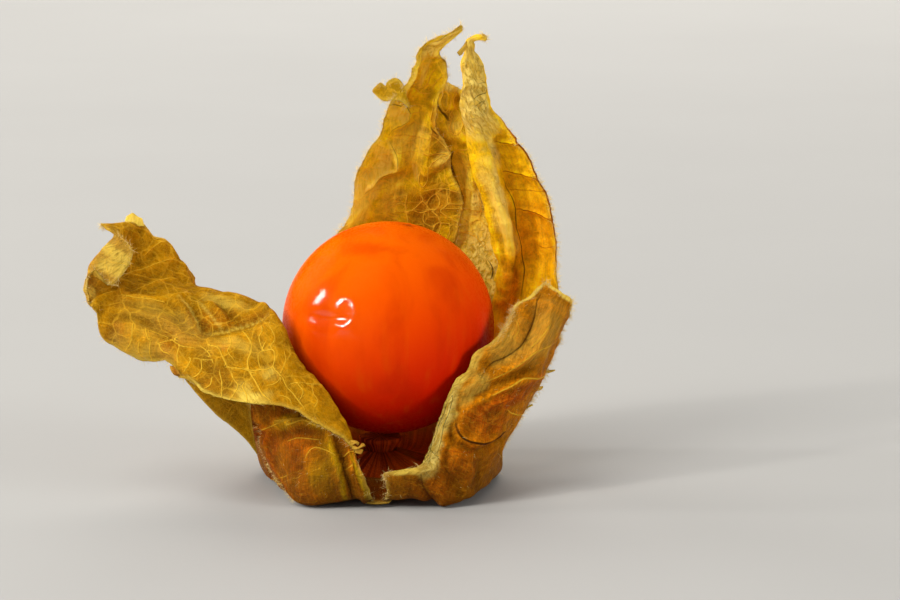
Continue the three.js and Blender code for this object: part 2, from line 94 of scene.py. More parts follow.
# Middle surface of each lobe, the same points as the solid's. A row runs round the husk,
# clockwise seen from above, and rows climb from the ring round the stem to the tip.
LEAF_ROWS = {
    "front_left": table("""
    0 -1.4 2.9, -.15 -1.4 2.9, -.3 -1.37 2.9, -.5 -1.3 2.9, -.9 -1.1 2.9, -1.3 -.5 2.9, -1.35 .4 2.9,
      -1.1 .85 2.9;
    0 -5.1 1.6, -.4 -5.1 1.6, -.9 -5.2 1.6, -1.6 -5.3 1.5, -3.7 -5 1.2, -5.2 -2.2 1.5, -5.5 1.6 1.2,
      -4.7 3.4 1.5;
    -.4 -8.7 .6, -.8 -8.8 .6, -1.4 -8.8 .7, -2.4 -8.8 .8, -6.2 -8.6 .3, -8.5 -3 .6, -9.8 3 .3, -8.3 6.1 .8;
    -1.2 -9.5 2.6, -1.5 -9.6 2.6, -2 -9.6 2.7, -3 -9.5 2.8, -7 -8.2 2.7, -9.5 -3.2 2.8, -10.8 2.8 3,
      -9.4 6.4 3.2;
    -2.2 -9.6 5.2, -2.3 -9.3 5.8, -2.4 -9 5.9, -2.8 -8.5 6, -6.6 -7.2 5.6, -10.6 -3.6 5.2, -12.4 2 5.8,
      -10.4 5.8 6.4;
    -5.2 -9.8 7.3, -4.8 -9.2 7.9, -4.5 -8.4 8.7, -4.2 -7.3 9.1, -6.4 -5.9 9, -11.4 -3.6 7.4, -13.6 1 7.6,
      -11.8 4.6 8.8;
    -8.2 -9.6 8.4, -7.7 -8.8 9.6, -7.1 -7.8 11.1, -6.8 -6.4 12.2, -8 -5 12.2, -12.2 -3.2 9.4, -14.6 .2 9.2,
      -13.2 3.6 10.6;
    -11.6 -8.8 9.1, -11 -8.2 10.6, -10.2 -6.8 12.6, -9 -3.9 15.6, -9.8 -2.2 15, -13 -2 12, -15.4 -.4 10.6,
      -14.2 2.8 12.2;
    -15.2 -7 9.6, -14.6 -6.8 11.2, -13.4 -5.2 13.4, -11.1 -1.8 15.9, -11.6 -.2 15.7, -14.2 -.6 14,
      -16.2 -.6 12.8, -15.3 2.6 14;
    -18 -4.9 11.1, -17.4 -5.2 12.4, -16.4 -4.2 14.2, -14 -1 16.4, -14.3 .8 16.4, -15.4 1.2 16.3,
      -16.2 1.8 16.2, -15.6 3 16.6;
    -20.8 -3.9 11.9, -20.5 -4.4 13.2, -19.6 -3.6 14.8, -17.4 -1 16.6, -17 1 17.1, -16.8 2.2 18,
      -16.6 2.8 18.4, -16.9 3.4 18.9;
    -23.4 -2.8 13.6, -23.2 -3.2 14.4, -22.4 -2.8 15.8, -20.4 -1 17.2, -19.4 .8 18, -18.6 2.2 19,
      -18.2 3 19.8, -18.4 3.6 20.4;
    -24.2 -3.2 16.5, -24.4 -3 16.7, -24.1 -2.2 17, -22.5 -.6 17.7, -21.1 .9 18.5, -19.9 2.2 19.4,
      -19.2 3 20.2, -19.2 3.6 20.8;
    -23.7 -3.3 19.2, -24.3 -2.6 18.6, -24 -1.4 18.6, -22.7 -.2 19, -21.6 1 19.5, -20.6 2 20.1,
      -19.9 2.8 20.8, -19.8 3.4 21.4;
    -22.3 -3 17.7, -24.1 -2.2 19.2, -23.6 -1 19.3, -22.6 .1 19.7, -21.7 1.1 20, -21 2 20.6, -20.4 2.7 21.3,
      -20.2 3.2 22;
    -20.5 -2.5 20.3, -22.8 -1.6 20.7, -22.6 -.7 20.6, -22 .2 20.8, -21.6 1 21.1, -21.2 1.7 21.4,
      -20.9 2.3 21.8, -20.9 2.8 22.1;
    -21.6 -1.2 21.4, -22.2 -1 21.7, -22.3 -.5 21.7, -22.2 .1 21.7, -22.1 .6 21.8, -21.9 1.1 21.9,
      -21.8 1.6 22.1, -21.8 2.1 22.1;
    -23.4 0 22.2, -23.4 .1 22.2, -23.4 .2 22.2, -23.5 .4 22.2, -23.5 .6 22.2, -23.5 .8 22.2, -23.5 1 22.2,
      -23.5 1.2 22.2"""),
    "back_left": table("""
    -1.1 .85 2.9, -.95 1.05 2.9, -.75 1.2 2.9, -.5 1.3 2.9, -.2 1.4 2.9, .1 1.4 2.9;
    -4.7 3.4 1.5, -4.2 4.1 1.5, -3.4 4.6 1.6, -2.2 5 1.4, -.9 5.4 1.2, .3 5.4 1.4;
    -8.3 6.1 .8, -7.4 7 .9, -6 8 .9, -4 9.2 .7, -1.6 10.2 .3, .6 10.2 .5;
    -9.4 6.4 3.2, -8.4 7.9 3.2, -6.8 9.2 3.2, -4.4 10.6 3.2, -1.6 11.6 3.2, 1 11.8 3.2;
    -9.4 6.8 7, -8.6 8.6 7, -6.8 10.2 7, -4.4 11.4 7, -1.6 12.2 7, 1.4 12.5 7;
    -8.2 7.4 11.4, -7.4 9.2 11.4, -5.8 10.8 11.4, -3.4 11.7 11.4, -.6 12.3 11.4, 2.4 12.5 11.4;
    -6.2 8.4 15.8, -5.2 9.8 15.8, -3.6 11 15.8, -1.4 11.7 15.8, 1.4 12.1 15.8, 4.2 12.1 15.8;
    -3.6 8.8 19.8, -2.6 9.8 19.9, -1 10.8 20, 1.2 11.2 20, 3.8 11.2 20, 6.6 10.7 20;
    -2.3 8.8 23, -1.4 9.6 23, 0 10.4 23, 2 10.7 23, 4.4 10.5 23, 6.8 9.8 23;
    -1.7 8.4 25.6, -.9 9.2 25.6, .5 9.8 25.6, 2.4 10 25.6, 4.4 9.8 25.6, 6.2 9.2 25.6;
    -.2 7.8 28.3, .5 8.4 28.3, 1.5 9 28.3, 2.8 9.2 28.3, 4 9 28.3, 5.5 8.6 28.3;
    .9 7.2 31, 1.4 7.8 31, 2.1 8.3 31.1, 3 8.5 31.2, 4 8.4 31.2, 5.2 8 31.2;
    2.3 6.8 33.4, 2.6 7.2 33.4, 3.1 7.6 33.4, 3.8 7.8 33.4, 4.6 7.8 33.3, 5.6 7.6 33.2;
    3 6.6 35.2, 3.3 6.9 35.3, 3.7 7.1 35.4, 4.2 7.3 35.4, 4.8 7.3 35.3, 5.4 7.1 35;
    3.8 6.2 36.8, 4.1 6.4 36.7, 4.3 6.5 36.5, 4.6 6.6 36.4, 4.8 6.7 36.2, 5.1 6.6 36;
    6.9 5.3 38.4, 7 5.4 38.4, 7 5.4 38.3, 7 5.5 38.2, 7 5.5 38.1, 7 5.5 38"""),
    "back": table("""
    .1 1.4 2.9, .35 1.35 2.9, .55 1.3 2.9, .8 1.15 2.9, 1 .95 2.9;
    .3 5.4 1.4, 1.2 5.3 1.5, 2.1 5 1.5, 3 4.6 1.5, 3.8 4 1.5;
    .6 10.2 .5, 2 9.9 .7, 3.5 9.3 .8, 5 8.5 .9, 6.4 7.4 .9;
    1 11.8 3.2, 2.8 11.4 3.2, 4.6 10.8 3.2, 6.3 9.9 3.2, 7.7 8.8 3.2;
    1.4 12.5 7, 3.3 12.2 7.2, 5.2 11.5 7.4, 7.2 10.4 7.5, 8.9 9.1 7.5;
    2.4 12.5 11.4, 4.2 12.3 11.8, 6.2 11.6 12, 8.4 10.6 12, 10 9.4 12;
    4.2 12.1 15.8, 5.6 12.1 16.2, 7.2 11.5 16.4, 9 10.6 16.4, 10.5 9.5 16.4;
    5.6 11.8 20.2, 6.8 11.5 20.4, 8.2 10.9 20.4, 9.5 10.2 20.4, 10.6 9.4 20.4;
    5.8 11 24, 6.9 10.8 24, 8 10.3 24, 9 9.8 24, 9.8 9.2 24;
    4.9 10.2 27.2, 6 10 27.2, 7.1 9.7 27.2, 8 9.3 27.2, 8.8 8.8 27.2;
    4.7 9.6 30.4, 5.5 9.5 30.4, 6.4 9.3 30.4, 7.1 9 30.4, 7.8 8.6 30.4;
    5 9.2 33.6, 5.7 9 33.3, 6.4 8.9 32.9, 6.9 8.6 32.7, 7.4 8.3 32.6"""),
    "back_right": table("""
    1 .95 2.9, 1.05 .9 2.9, 1.1 .85 2.9, 1.2 .7 2.9, 1.3 .5 2.9, 1.38 .25 2.9, 1.4 0 2.9;
    3.8 4 1.5, 4 3.8 1.5, 4.2 3.5 1.5, 4.5 3.1 1.5, 5 2.3 1.3, 5.4 1.3 1.2, 5.5 0 1.4;
    6.4 7.4 .9, 6.7 7.1 .9, 7.1 6.7 .9, 7.8 5.9 .8, 9 4.5 .5, 9.9 2.6 .3, 9.8 0 .7;
    7.7 8.8 3.2, 8 8.5 3.2, 8.4 8 3.2, 9 7 3.2, 9.9 5.3 3.1, 10.6 3.2 3, 10.4 .4 3;
    8.9 9.1 7.5, 9.2 8.8 7.5, 9.6 8.4 7.5, 10.3 7.7 7.5, 11.6 6.2 7.4, 12.8 4 7.3, 12.8 1.6 7.2;
    9.4 8.6 12, 9.7 8.1 12, 10.3 7.9 12, 11.3 7.8 12, 13 6.4 12, 14.4 4.4 12, 14.5 2.4 12;
    10 8 16, 10.3 7.1 16, 11.3 6.8 16, 12.1 7.8 16, 13.4 7.6 16, 14.8 6 16, 15.3 4.2 16;
    9.6 7.9 19.6, 9.9 6.7 19.6, 11.2 6.3 19.6, 12 7.6 19.6, 13 7.9 19.6, 14.2 6.8 19.8, 14.9 5.2 20;
    8.9 7.7 22.8, 9.1 6.5 22.8, 10.5 6 22.8, 11.4 7.4 22.8, 12.2 8 22.8, 13.3 7.2 22.8, 14.3 5.6 22.8;
    8.1 7.5 25.8, 8.2 6.2 25.8, 9.5 5.7 25.8, 10.3 7.1 25.8, 11 7.8 25.8, 12.1 7.4 25.8, 13.1 6.2 25.8;
    7.7 7.2 28.4, 7.5 6.1 28.4, 8.7 5.4 28.4, 9.4 6.6 28.4, 9.9 7.4 28.4, 10.6 7.4 28.4, 11.4 6.7 28.4;
    7.3 6.9 30.8, 7.1 6 30.8, 7.7 5.4 30.8, 8.5 5.4 30.8, 9 6 30.8, 9.4 6.6 30.7, 9.8 7.1 30.6;
    6.9 6.4 33.4, 7.1 5.9 33.4, 7.5 5.6 33.4, 7.9 5.6 33.4, 8.3 5.8 33.3, 8.7 6.2 33.2, 9 6.7 33;
    7 5.9 35.7, 7.2 5.6 35.7, 7.5 5.4 35.7, 7.8 5.4 35.7, 8 5.5 35.6, 8.3 5.7 35.5, 8.5 6 35.4;
    7.5 5.4 37.4, 7.5 5.3 37.4, 7.7 5.2 37.3, 7.8 5.2 37.3, 7.9 5.2 37.2, 8 5.3 37.1, 8 5.4 37;
    8.9 4.6 37.9, 8.9 4.5 37.8, 8.9 4.5 37.8, 8.9 4.4 37.7, 9 4.4 37.6, 9 4.4 37.5, 8.9 4.4 37.4"""),
    "front_right": table("""
    1.4 0 2.9, 1.35 -.4 2.9, 1.2 -.75 2.9, .85 -1.1 2.9, .35 -1.35 2.9, 0 -1.4 2.9;
    5.5 0 1.4, 5.3 -1.9 1.5, 4.6 -3.4 1.5, 3.2 -4.8 1.2, 1.3 -5.2 1.5, 0 -5.1 1.6;
    9.8 0 .7, 9 -3.2 .8, 7.9 -6.2 .6, 6 -8.6 .3, 2.6 -8.8 .8, .3 -8.7 .6;
    10.4 .4 3, 9.9 -3.2 2.6, 8.9 -6.2 2.3, 6.9 -8.6 2.2, 3.2 -9.8 2.8, .6 -9.6 3.2;
    11.3 -.4 5.2, 10.8 -3.8 4.8, 9.8 -6.2 4.4, 8 -8.3 4.3, 5.4 -9.3 4.4, 4 -9.4 4.2;
    12.6 -.8 7.2, 11.8 -3.8 6.8, 10.6 -6 6.4, 8.7 -7.7 6.2, 6.4 -8.4 6.2, 5 -8.2 6.2;
    13.7 -1 9.2, 12.7 -3.8 8.8, 11.3 -5.7 8.5, 9.5 -7 8.5, 7.2 -7.3 8.6, 5.7 -7.3 8.9;
    14.6 -1.2 11.2, 13.6 -3.6 10.6, 12.3 -5.3 10.2, 10.7 -6.2 10.2, 8.8 -6.7 10.7, 7.1 -6.7 11.2;
    15 -1.2 13, 14.4 -3.2 12.5, 13.3 -4.7 12.2, 11.9 -5.4 12.2, 10.1 -5.6 12.7, 8.5 -5.7 13.6;
    15.6 -1.2 14.4, 15.1 -2.7 14.2, 14.3 -3.6 14.2, 13.2 -3.9 14.3, 12 -3.4 14.7, 11 -2.8 15.2;
    16.1 -1.4 15.2, 15.6 -2.3 15.3, 14.9 -2.7 15.6, 14.1 -2.7 16, 13.3 -2.3 16.3, 12.6 -1.7 16.6;
    16.3 -1.2 15.9, 15.9 -1.4 16.3, 15.4 -1.5 16.6, 14.9 -1.4 17, 14.5 -1.2 17.2, 14.1 -1 17.4"""),
}

# joined: up to which row of its table the lobe is one sheet with the next lobe.
# left, right: how far the torn margin lies inside the smooth edge, from the row given first.
# marks: paths of row and column points over the sheet, by kind. Before the colon stand the half width,
# then for fold, vein, rib, red and the dark lines the relief, positive towards the berry, then for all but fold
# the strength. A fold bends the sheet, hair and bald change the hairs, and the others are colours. The dark
# lines are painted shade in creases, slits and under edges, the silvery places carry painted glints, the
# yellow places are partly painted light, and the first brown mark of each front lobe is painted shadow.
LEAVES = {
    "front_left": dict(joined=3, warmth=0.1, net=0.6, sun=0.12, bare=4, tone=1.04,
        left=(4.3, """.21 .11 .08 .11 .24 .49 .54 .5 .36 .08 -.07 -.12 -.12 -.08 .08 .41 .56 .09 .6 .71 .21
            -.01 -.05 .1 .07 .06 -.05 .32 1.1 .82 .01 -.13 .27 .56 .71"""),
        right=(9.2, """-.17 .03 .22 .28 .3 .4 -.02 -.04 .09 .12 .1 .1 .14 .04 -.07 -.19 -.21 -.13 -.05 -.02
            0 .02 .01 -.01"""),
        marks=marks(
            fold="""
.75 -.35: 7 3.05, 7.45 2.6, 7.9 2.35, 8.35 2.1, 8.7 2.05
.45 .48: 9.65 2.95, 9.7 2.7, 9.35 2.5, 9.05 2.3, 8.7 2.05
.4 -.42: 9.35 2.6, 8.8 2.3, 8.4 2.15
.35 .36: 9.1 2.8, 8.6 2.6, 8.05 2.4
.35 -.32: 8.85 2.85, 8.35 2.65, 7.9 2.5
.45 .28: 11 1.7, 10.5 2.1, 9.95 2.15, 9.4 2, 8.8 1.7, 8.35 1.65
.4 -.22: 10.9 1.45, 10.35 1.9, 9.9 1.95, 9.3 1.7, 8.8 1.45
.45 .22: 11.45 2.75, 10.95 2.55, 10.4 2.7, 9.75 2.85, 9.45 3.25
.6 -.2: 10.7 2.3, 10.2 2.45, 9.75 2.5, 9.1 2.2, 8.55 1.9
.5 .18: 7.2 2.6, 6.75 2.35, 6.05 1.95, 5.35 1.4, 4.75 .75
.6 -.15: 7.5 2.3, 6.8 1.85, 6.1 1.25, 5.4 .55
.5 .15: 9.6 1.1, 8.65 .85, 7.85 .55, 7.25 .35
.55 .16: 11.95 3.5, 11.45 4, 11.05 4.55, 10.2 5.8
.45 .14: 11 2.75, 10.75 3.3, 10.45 3.95, 10.15 4.25
.4 .14: 12 4.75, 11.9 5.55, 10.95 6.55
.3 .16: 16 4.15, 14.95 5.15, 13.5 5.65
.25 -.1: 15.9 5.3, 14.85 5.85, 13.1 6.3
.32 -.32: 4.25 3.45, 3.8 3.35, 3.4 3.2, 2.9 3.05, 1.95 3.1
.3 .25: 4.15 3.3, 3.7 3.2, 3.25 2.95, 2.75 2.8, 2 2.85
.3 -.22: 4 3.05, 3.5 2.65, 3 1.9, 2.15 1.8
.25 -.25: 3.9 .75, 3.35 .7, 1.35 2.2, 2 .75
.26 .22: 3.75 6.6, 4.35 4.9, 3.65 5, 2.85 5.1, 1.9 5.15, 2.2 4.3
.26 -.26: 3.7 6.75, 4.25 4.75, 3.65 4.75, 3 4.65, 2.55 4.3, 2.1 4.1
.3 -.18: 4.3 6.1, 4.15 5.3, 3.4 5.35
.5 -.22: 4.2 4.6, 4.35 4.45, 4.35 4.25, 4.4 3.95, 4.35 3.75, 4.25 3.5
.45 .18: 3.95 4.55, 4.1 4.2, 4.2 3.85, 4.1 3.55
.4 -.16: 3.45 3.85, 3.7 3.7, 3.7 3.5, 3.55 3.25
.35 .12: 2.35 4.1, 2.8 4.05, 3.1 3.95, 3.3 3.8""",
            vein="""
.08 .07 .9: 8.85 1.45, 8.8 1.05, 8.65 .8; 8.45 1.2, 8.15 1.35, 7.9 1.45; 6.8 1.65, 6.95 1.95, 6.95 2.1;
  7.4 1.25, 7.3 1, 7.15 .75, 7.15 .35, 7.2 0; 6.15 .85, 5.9 .8, 5.8 .4; 9.4 1.25, 9.15 1.55, 9 1.7
.088 .08 1: 8.4 1.2, 8.35 .9, 8.4 .55; 6.55 1.85, 6.3 1.65, 6.35 1.3, 6.5 1.1; 10.2 1.75, 10.05 1.1,
  10.15 .25; 9.85 1.1, 9.8 .65, 9.65 .3; 9.4 1.3, 9.25 1, 9 .75
.096 .09 1: 8.15 1.3, 8.05 1.05, 8.05 .8, 8.15 .45; 7 1.05, 7.05 .75, 6.9 .45, 6.8 0
.088 .07 1: 8.35 1.7, 8.15 1.65, 7.95 1.5, 7.85 1.35; 7.75 .85, 7.7 .55, 7.8 .25
.104 .09 1: 8.25 1.8, 7.9 1.8, 7.7 1.6, 7.5 1.35; 7.65 1.15, 7.5 .75, 7.4 .05
.096 .08 1: 7.55 1.35, 7.3 1.4, 7.05 1.45; 7.05 1.45, 6.75 1.6, 6.55 1.85; 6.55 1.85, 6.55 2.1, 6.65 2.25,
  6.9 2.15, 6.9 2.3; 6.25 1.65, 6.05 1.35, 5.8 1.15, 5.45 .55; 9.6 1.3, 9.5 .6, 9.4 .15
.112 .09 1: 7.6 2.35, 7.25 2.2, 7.15 2, 7.15 1.75, 7.05 1.45
.12 .1 1: 7.05 1.45, 6.8 1.1, 6.55 .65, 6.3 .3
.08 .07 1: 6 1.55, 5.75 1.9, 5.5 2.35, 5.2 3.3; 5.5 2.25, 5.4 1.8, 5.25 1.65, 5.25 1.2; 5.85 1.7,
  5.65 1.55, 5.65 1.15; 9.85 1.7, 9.65 1.3
.08 .06 .9: 7.85 2.2, 7.65 2, 7.65 1.8, 7.45 1.65; 7.15 2.55, 7.05 2.45, 7.1 2.35, 6.95 2.2; 6.9 2.6,
  6.7 2.5, 6.75 2.25
.072 .05 .8: 6.4 2.45, 6.3 2.25, 6.3 1.75
.08 .05 .7: 11.95 3.5, 11.45 4, 11.05 4.55, 10.2 5.8; 12 4.75, 11.9 5.55, 10.95 6.55
.08 .05 .6: 11 2.75, 10.75 3.3, 10.45 3.95, 10.15 4.25
.09 .05 .8: 11.65 1.7, 11.55 2.2, 11.45 2.5; 12.75 1.85, 13.55 .35, 12.45 2.7
.12 -.08 .9: 2.95 6.9, 4.35 4.45, 4.3 4.25, 4.4 3.95, 4.3 3.75, 4.25 3.45
.1 -.07 .8: 4.45 4.5, 4.45 4.3, 4.45 4.1, 4.45 4; 3.5 3.8, 3.75 3.7, 3.7 3.5, 3.55 3.25
.09 -.06 .7: 3.9 4.25, 4 4, 3.95 3.6
.09 -.05 .6: 3.15 3.9, 1.2 6.45, 3.25 3.5
.09 -.05 .8: 3.55 3.05, 3.65 2.65, 3.75 .85
.09 -.05 .5: 3.25 2.9, 3.45 1.95
.08 .05 .9: 11.15 2.5, 10.7 2.55, 10.35 2.65, 10 2.65; 9.75 1.7, 9.3 1.65, 8.85 1.45, 8.45 1.55""",
            rib="""
.15 -.14 1: 4.8 2, 9 2.4, 14 3; 4.8 4.5, 9 4.5, 13 4.2
.1 -.08 1: 6 2.2, 8 1; 6 4.5, 8 5.6; 8 2.3, 10 4.2""",
            red="""
.12 0 .5: 3.6 6.65, 4.15 4.85, 3.55 4.8, 2.95 4.6, 2.55 4.25""",
            ink="""
.25 0 .6: 2 1.8, 2.15 .5, 1.9 0
.1 -.1 .35: 4.25 3.4, 3.9 3.3, 3.5 3.15, 3.1 2.95, 2.55 2.85, 1.95 2.95
.08 -.05 .25: 3.9 3.05, 3.55 2.8, 3.25 2.1, 2.85 1.7, 2.25 1.7
.07 -.04 .15: 3.8 6.6, 4.35 4.9, 3.65 5, 2.9 5.1, 2.5 4.65, 2.2 4.3
.08 -.04 .2: 4.15 3.4, 3.7 3.25, 3.25 3.05, 1.1 3.5, 2 3
.08 0 .12: 2.35 4.1, 2.8 4.05, 3.1 3.95, 3.3 3.8
.07 -.02 .12: 15.8 4.15, 14.95 5.15, 13.85 5.65""",
            pale="""
1.6 .5: 10.1 .15, 9.7 0, 9.3 .25
.13 1: 8.3 .3, 8.05 .15, 7.8 .05, 7.45 0, 6.95 0, 6.6 0, 6.35 .25
1.1 .2: 10.6 2.25, 10.1 2.3, 9.5 2.25, 8.8 1.9, 8.25 1.8
.9 .15: 10.4 1.6, 9.85 1.6, 9.4 1.8
.75 1: 7 .6, 6.8 .3, 6.5 .3
.5 .6: 6.65 1.65, 6.5 1.55
.6 .3: 8.05 1.9, 7.6 2.05, 7.05 2.1
2.4 .85: 14.55 .5, 14.8 .45, 15.05 .4
1.6 .85: 14.2 .2, 14.65 .3
.35 .8: 11.8 1.35, 12.15 1.9, 12.6 .05
.12 .6: 9.7 2.75, 9.3 2.55, 8.95 2.35, 8.6 2.1
.12 .5: 9.25 2.75, 8.85 2.55, 8.5 2.4, 8.15 2.3; 8.45 2.1, 8.1 2.25, 7.75 2.45, 7.4 2.6, 7.1 2.85
.5 .4: 9.2 2.95, 8.6 2.85, 7.95 2.8""",
            sun="""
.35 .8: 4.45 5.8, 3.9 5.6, 3.4 5.55
.22 1.5: 4.05 3.45, 3.7 3.35, 3.3 3.15, 2.8 3.05, 1.75 3.2
.18 1.4: 3.6 2.55, 3.25 1.5, 2.85 1.05, 2.4 .7, 2 .55
.5 1.5: 4.35 4.45, 4.4 4.25, 4.4 3.95, 4.35 3.75, 4.25 3.5
.9 .9: 3.45 3.7, 3.15 3.55, 2.8 3.45
.8 .7: 3.95 3.6, 3.55 3.4, 3.2 3.2""",
            warm="""
.35 .8: 4 6.15, 4.1 5.15, 2.8 6.1
1.3 .35: 9.85 2, 9.05 1.95, 8.25 1.8
1 .45: 8.95 2.35, 8.5 2.45, 7.95 2.6
.6 .4: 7.95 2.5, 7.6 2.65, 7.2 2.85
1 .5: 10.7 1.05, 10.3 1.3
.9 .5: 9.3 1, 9 1.15
.35 .6: 7.85 1.85, 7.7 1.85
.8 .8: 3.55 6.65, 4 4.75, 3.35 4.65, 1.65 5.4, 2.45 3.95
1.6 .6: 4.45 4.25, 3.95 4, 2.9 3.7""",
            # The first brown mark paints shadow at the foot of the gap between the front lobes; the others are brown
            # paper.
            brown="""
.7 1: 2 2.05, 1.95 0
.3 .5: 4.1 3.3, 3.55 3.15, 3.05 2.85, 2.25 2.85
.12 .6: 8.45 2.1, 8.15 2.3, 7.85 2.5, 7.3 2.75
.12 .45: 10.9 1.65, 10.45 2.05, 10 2.05
1.4 .35: 10.15 2.05, 9.3 1.95, 8.4 1.8
2.6 .6: 14.55 .5, 14.8 .45, 15.05 .4
.5 .55: 9.1 2.45, 8.8 2.3, 8.5 2.2
.16 .75: 9.7 2.7, 9.35 2.5, 9.05 2.3, 8.75 2.05
.14 .7: 8.75 2.7, 8.45 2.6, 8.1 2.45
.14 .5: 8.7 2.55, 8.4 2.45, 8.15 2.4
1.2 .5: 8 1.15, 7.3 .7
1 .4: 10.7 1.05, 10.4 1.2
.8 .45: 9.2 1.25, 9 1.15
.6 .55: 3.9 3.25, 3.4 3.05, 2.55 2.85
1 .45: 4.25 4.25, 4.15 3.7""",
            hair="""
.22 .4: 3.75 6.6, 4.35 4.9, 3.6 4.95, 2.8 5, 2.45 4.55, 2.1 4.1""",
            bald="""
.8 1: 2 2.05, 1.95 0; 8.3 .3, 7.8 .05, 6.95 0, 6.35 .15, 5.5 .35, 4.65 .1
1.2 1: 3.8 3.05, 3.5 1.9, 3 .2, 1.9 0
3.5 1: 15.05 .45, 14.3 .2
.9 1: 13.85 5.65, 12.95 4.9, 12.2 4.15""")),
    "back_left": dict(joined=6, warmth=0, net=0.75, sun=0.95, tone=1.6,
        left=(6.6, """1 -.24 -.26 -.11 .01 .07 -.05 -.1 -.1 -.13 -.28 -.37 -.36 -.26 .08 .1 .02 -.14 -.45
            -.52 -.23 -.27 -.19 -.3 -.42 -.51 -.04 -.14 .07 .26 -.19 -.16 -.4"""),
        right=(6.3, """-.6 -.6 -.46 -.18 -.13 -.22 -.36 -.31 -.22 -.06 -.01 .01 -.24 -.4 -.25 .03 .3 .35
            .29 .23 .23 .27 .13 -.11 -.26 -.31 -.34 -.33 -.44 -.54 -.39 .22 .34 .38 .32"""),
        marks=marks(
            fold="""
.45 .42: 13.4 1.15, 12.4 .55, 11.5 .8, 10.9 1.4
.35 -.25: 13.25 2.6, 12.25 2.05, 11.4 2.05, 10.85 2.1
.55 .5: 10 1.05, 9.45 2.2, 9 2.5, 8.8 1.75, 8.45 1.25, 8.05 .6
.55 -.35: 9.1 2.75, 8.7 2.55, 8.45 1.85, 8 1.3
.5 .35: 11.2 1.2, 10.85 2.6, 10.6 2.6, 10.45 1.9, 10.35 1.15
.5 -.25: 10.95 3, 10.5 3.15, 10.25 2.45, 10.1 1.75
.7 .25: 11.6 4.3, 10.7 4.65, 9.95 4.25, 8.9 3.75, 7.85 3.65
.6 -.22: 11.55 3.45, 10.55 3.6, 9.75 3.05, 8.9 3.05
.5 .22: 9.55 5, 9.3 4.8, 9 4.15
.45 -.2: 9.15 5, 8.85 4.4, 8.65 3.85
.8 .2: 10.35 2.2, 9.25 2.6, 8.2 2.75, 7.4 2.5
.6 .2: 7 .1, 7.5 .45, 7.8 1.4""",
            vein="""
.11 .07 1: 8.2 3.75, 8.25 4.2, 8.25 4.6, 8.15 5; 7.55 4.05, 7.6 4.25, 7.85 4.35, 8.05 4.2; 7.55 3.45,
  7.45 3.7, 7.5 3.9, 7.55 4.05; 7.2 4.45, 7.1 4.3, 6.9 4.35, 6.85 4.5, 7.05 4.5, 7.2 4.45; 7.15 4.75,
  6.95 4.8, 6.8 4.8
.12 .07 1: 8.2 4.35, 7.95 4, 7.7 3.9, 7.55 4.05; 8.25 4.55, 7.8 4.6, 7.55 4.4, 7.35 4.7, 7.2 4.95;
  7.85 3.75, 7.55 4.05, 7.35 4.35, 7.2 4.45, 7.15 4.75, 7.05 5; 7.5 3.2, 7.55 3.45, 7.75 3.65, 7.9 3.75,
  8.05 3.65; 8.05 3.15, 7.7 3.15, 7.45 3.25, 7.15 3.4
.1 .07 1: 7.8 4.6, 7.75 5; 10.35 4.7, 10.15 4.45, 9.95 4.3, 9.55 3.75; 10.2 4.45, 9.9 4.8, 9.6 5
.09 .07 .8: 7.65 4.5, 7.6 5; 7.45 2.65, 7.7 2.4, 7.9 2.55, 8 2.85, 8.05 3.15; 7.65 2.65, 7.75 2.95,
  7.65 3.2; 9.95 4.3, 9.7 4.15, 9.5 4.1; 9.6 5, 9.4 4.55, 9.2 4.15, 9 3.9
.1 .07 .9: 7.5 3.85, 7.2 3.9, 7.05 4.25; 9 3.6, 8.65 3.5, 8.35 3.65, 8.55 3.85, 8.95 3.9; 9.55 3.6,
  9.5 4.1, 9.55 4.65, 9.6 5
.09 .07 .7: 7.6 2.4, 7.35 2.6, 7.2 3.1; 11.85 1.85, 11.55 3.05, 11.55 4.1; 12.55 3.9, 12.25 3.55,
  11.9 3.45, 11.65 2.7; 12.35 4.65, 12.1 4.25, 11.75 4.05
.08 .07 .7: 7.45 2.75, 7.5 3, 7.45 3.25
.08 .07 .6: 10.5 3.8, 10.45 4.3, 10.35 4.55, 10.1 4.35, 10.1 4, 10.25 3.8; 11.4 4.65, 10.95 4.7, 10.5 4.55;
  12.95 3.5, 12.55 3.15, 12.25 2.85; 10.85 1.7, 10.8 2.7, 10.75 3.9; 9.25 3.2, 8.9 3.35, 8.55 3.35;
  9.05 .6, 9.2 1, 9.3 1.45, 9.2 1.9
.09 .07 .9: 10.1 1, 10.1 2.15, 10.05 3.2, 10.05 4.3
.09 .07 .6: 13.1 2.15, 12.65 2.1, 12.15 1.7
.08 .07 .5: 8 0, 8.1 1.1, 8.25 1.9, 8.4 2.6; 9.6 2.25, 9.55 2.85, 9.55 3.55; 8.7 .8, 8.95 1.2, 9 1.7
.1 .07 .8: 13.65 2.35, 13.25 3.3, 13.9 4.85
.07 .07 .5: 14 1.3, 14.45 .55, 14.75 .65; 13.95 3.25, 14.4 2.25, 14.65 1.55""",
            rib="""
.15 -.14 1: .6 1.2, 5 1.2, 9 1.5, 13 2; .6 2.5, 6 2.6, 11 2.6, 14 2.6; .6 3.8, 5 3.8, 9 3.6, 12.5 3.2
.1 -.08 1: 2.5 2.5, 4.5 1.3; 2.5 2.6, 4.5 3.7; 5.5 2.6, 7.5 1.4; 5.5 2.6, 7.5 3.6; 3 1.2, 5 .3; 3 3.8,
  5 4.7""",
            ink="""
.11 -.03 .5: 11.2 0, 11.25 .95, 11.1 2, 10.8 2.7
.12 0 .5: 10.4 4.6, 10.25 4.75, 10.15 4.9
.08 -.03 .3: 10.8 2.7, 10.55 2.5, 10.4 1.55, 10.15 1.05
.09 -.03 .5: 8.9 2.55, 8.75 1.9, 8.45 1.4, 8.15 .9
.08 -.02 .35: 9.9 1.5, 9.5 2.25, 9.05 2.5""",
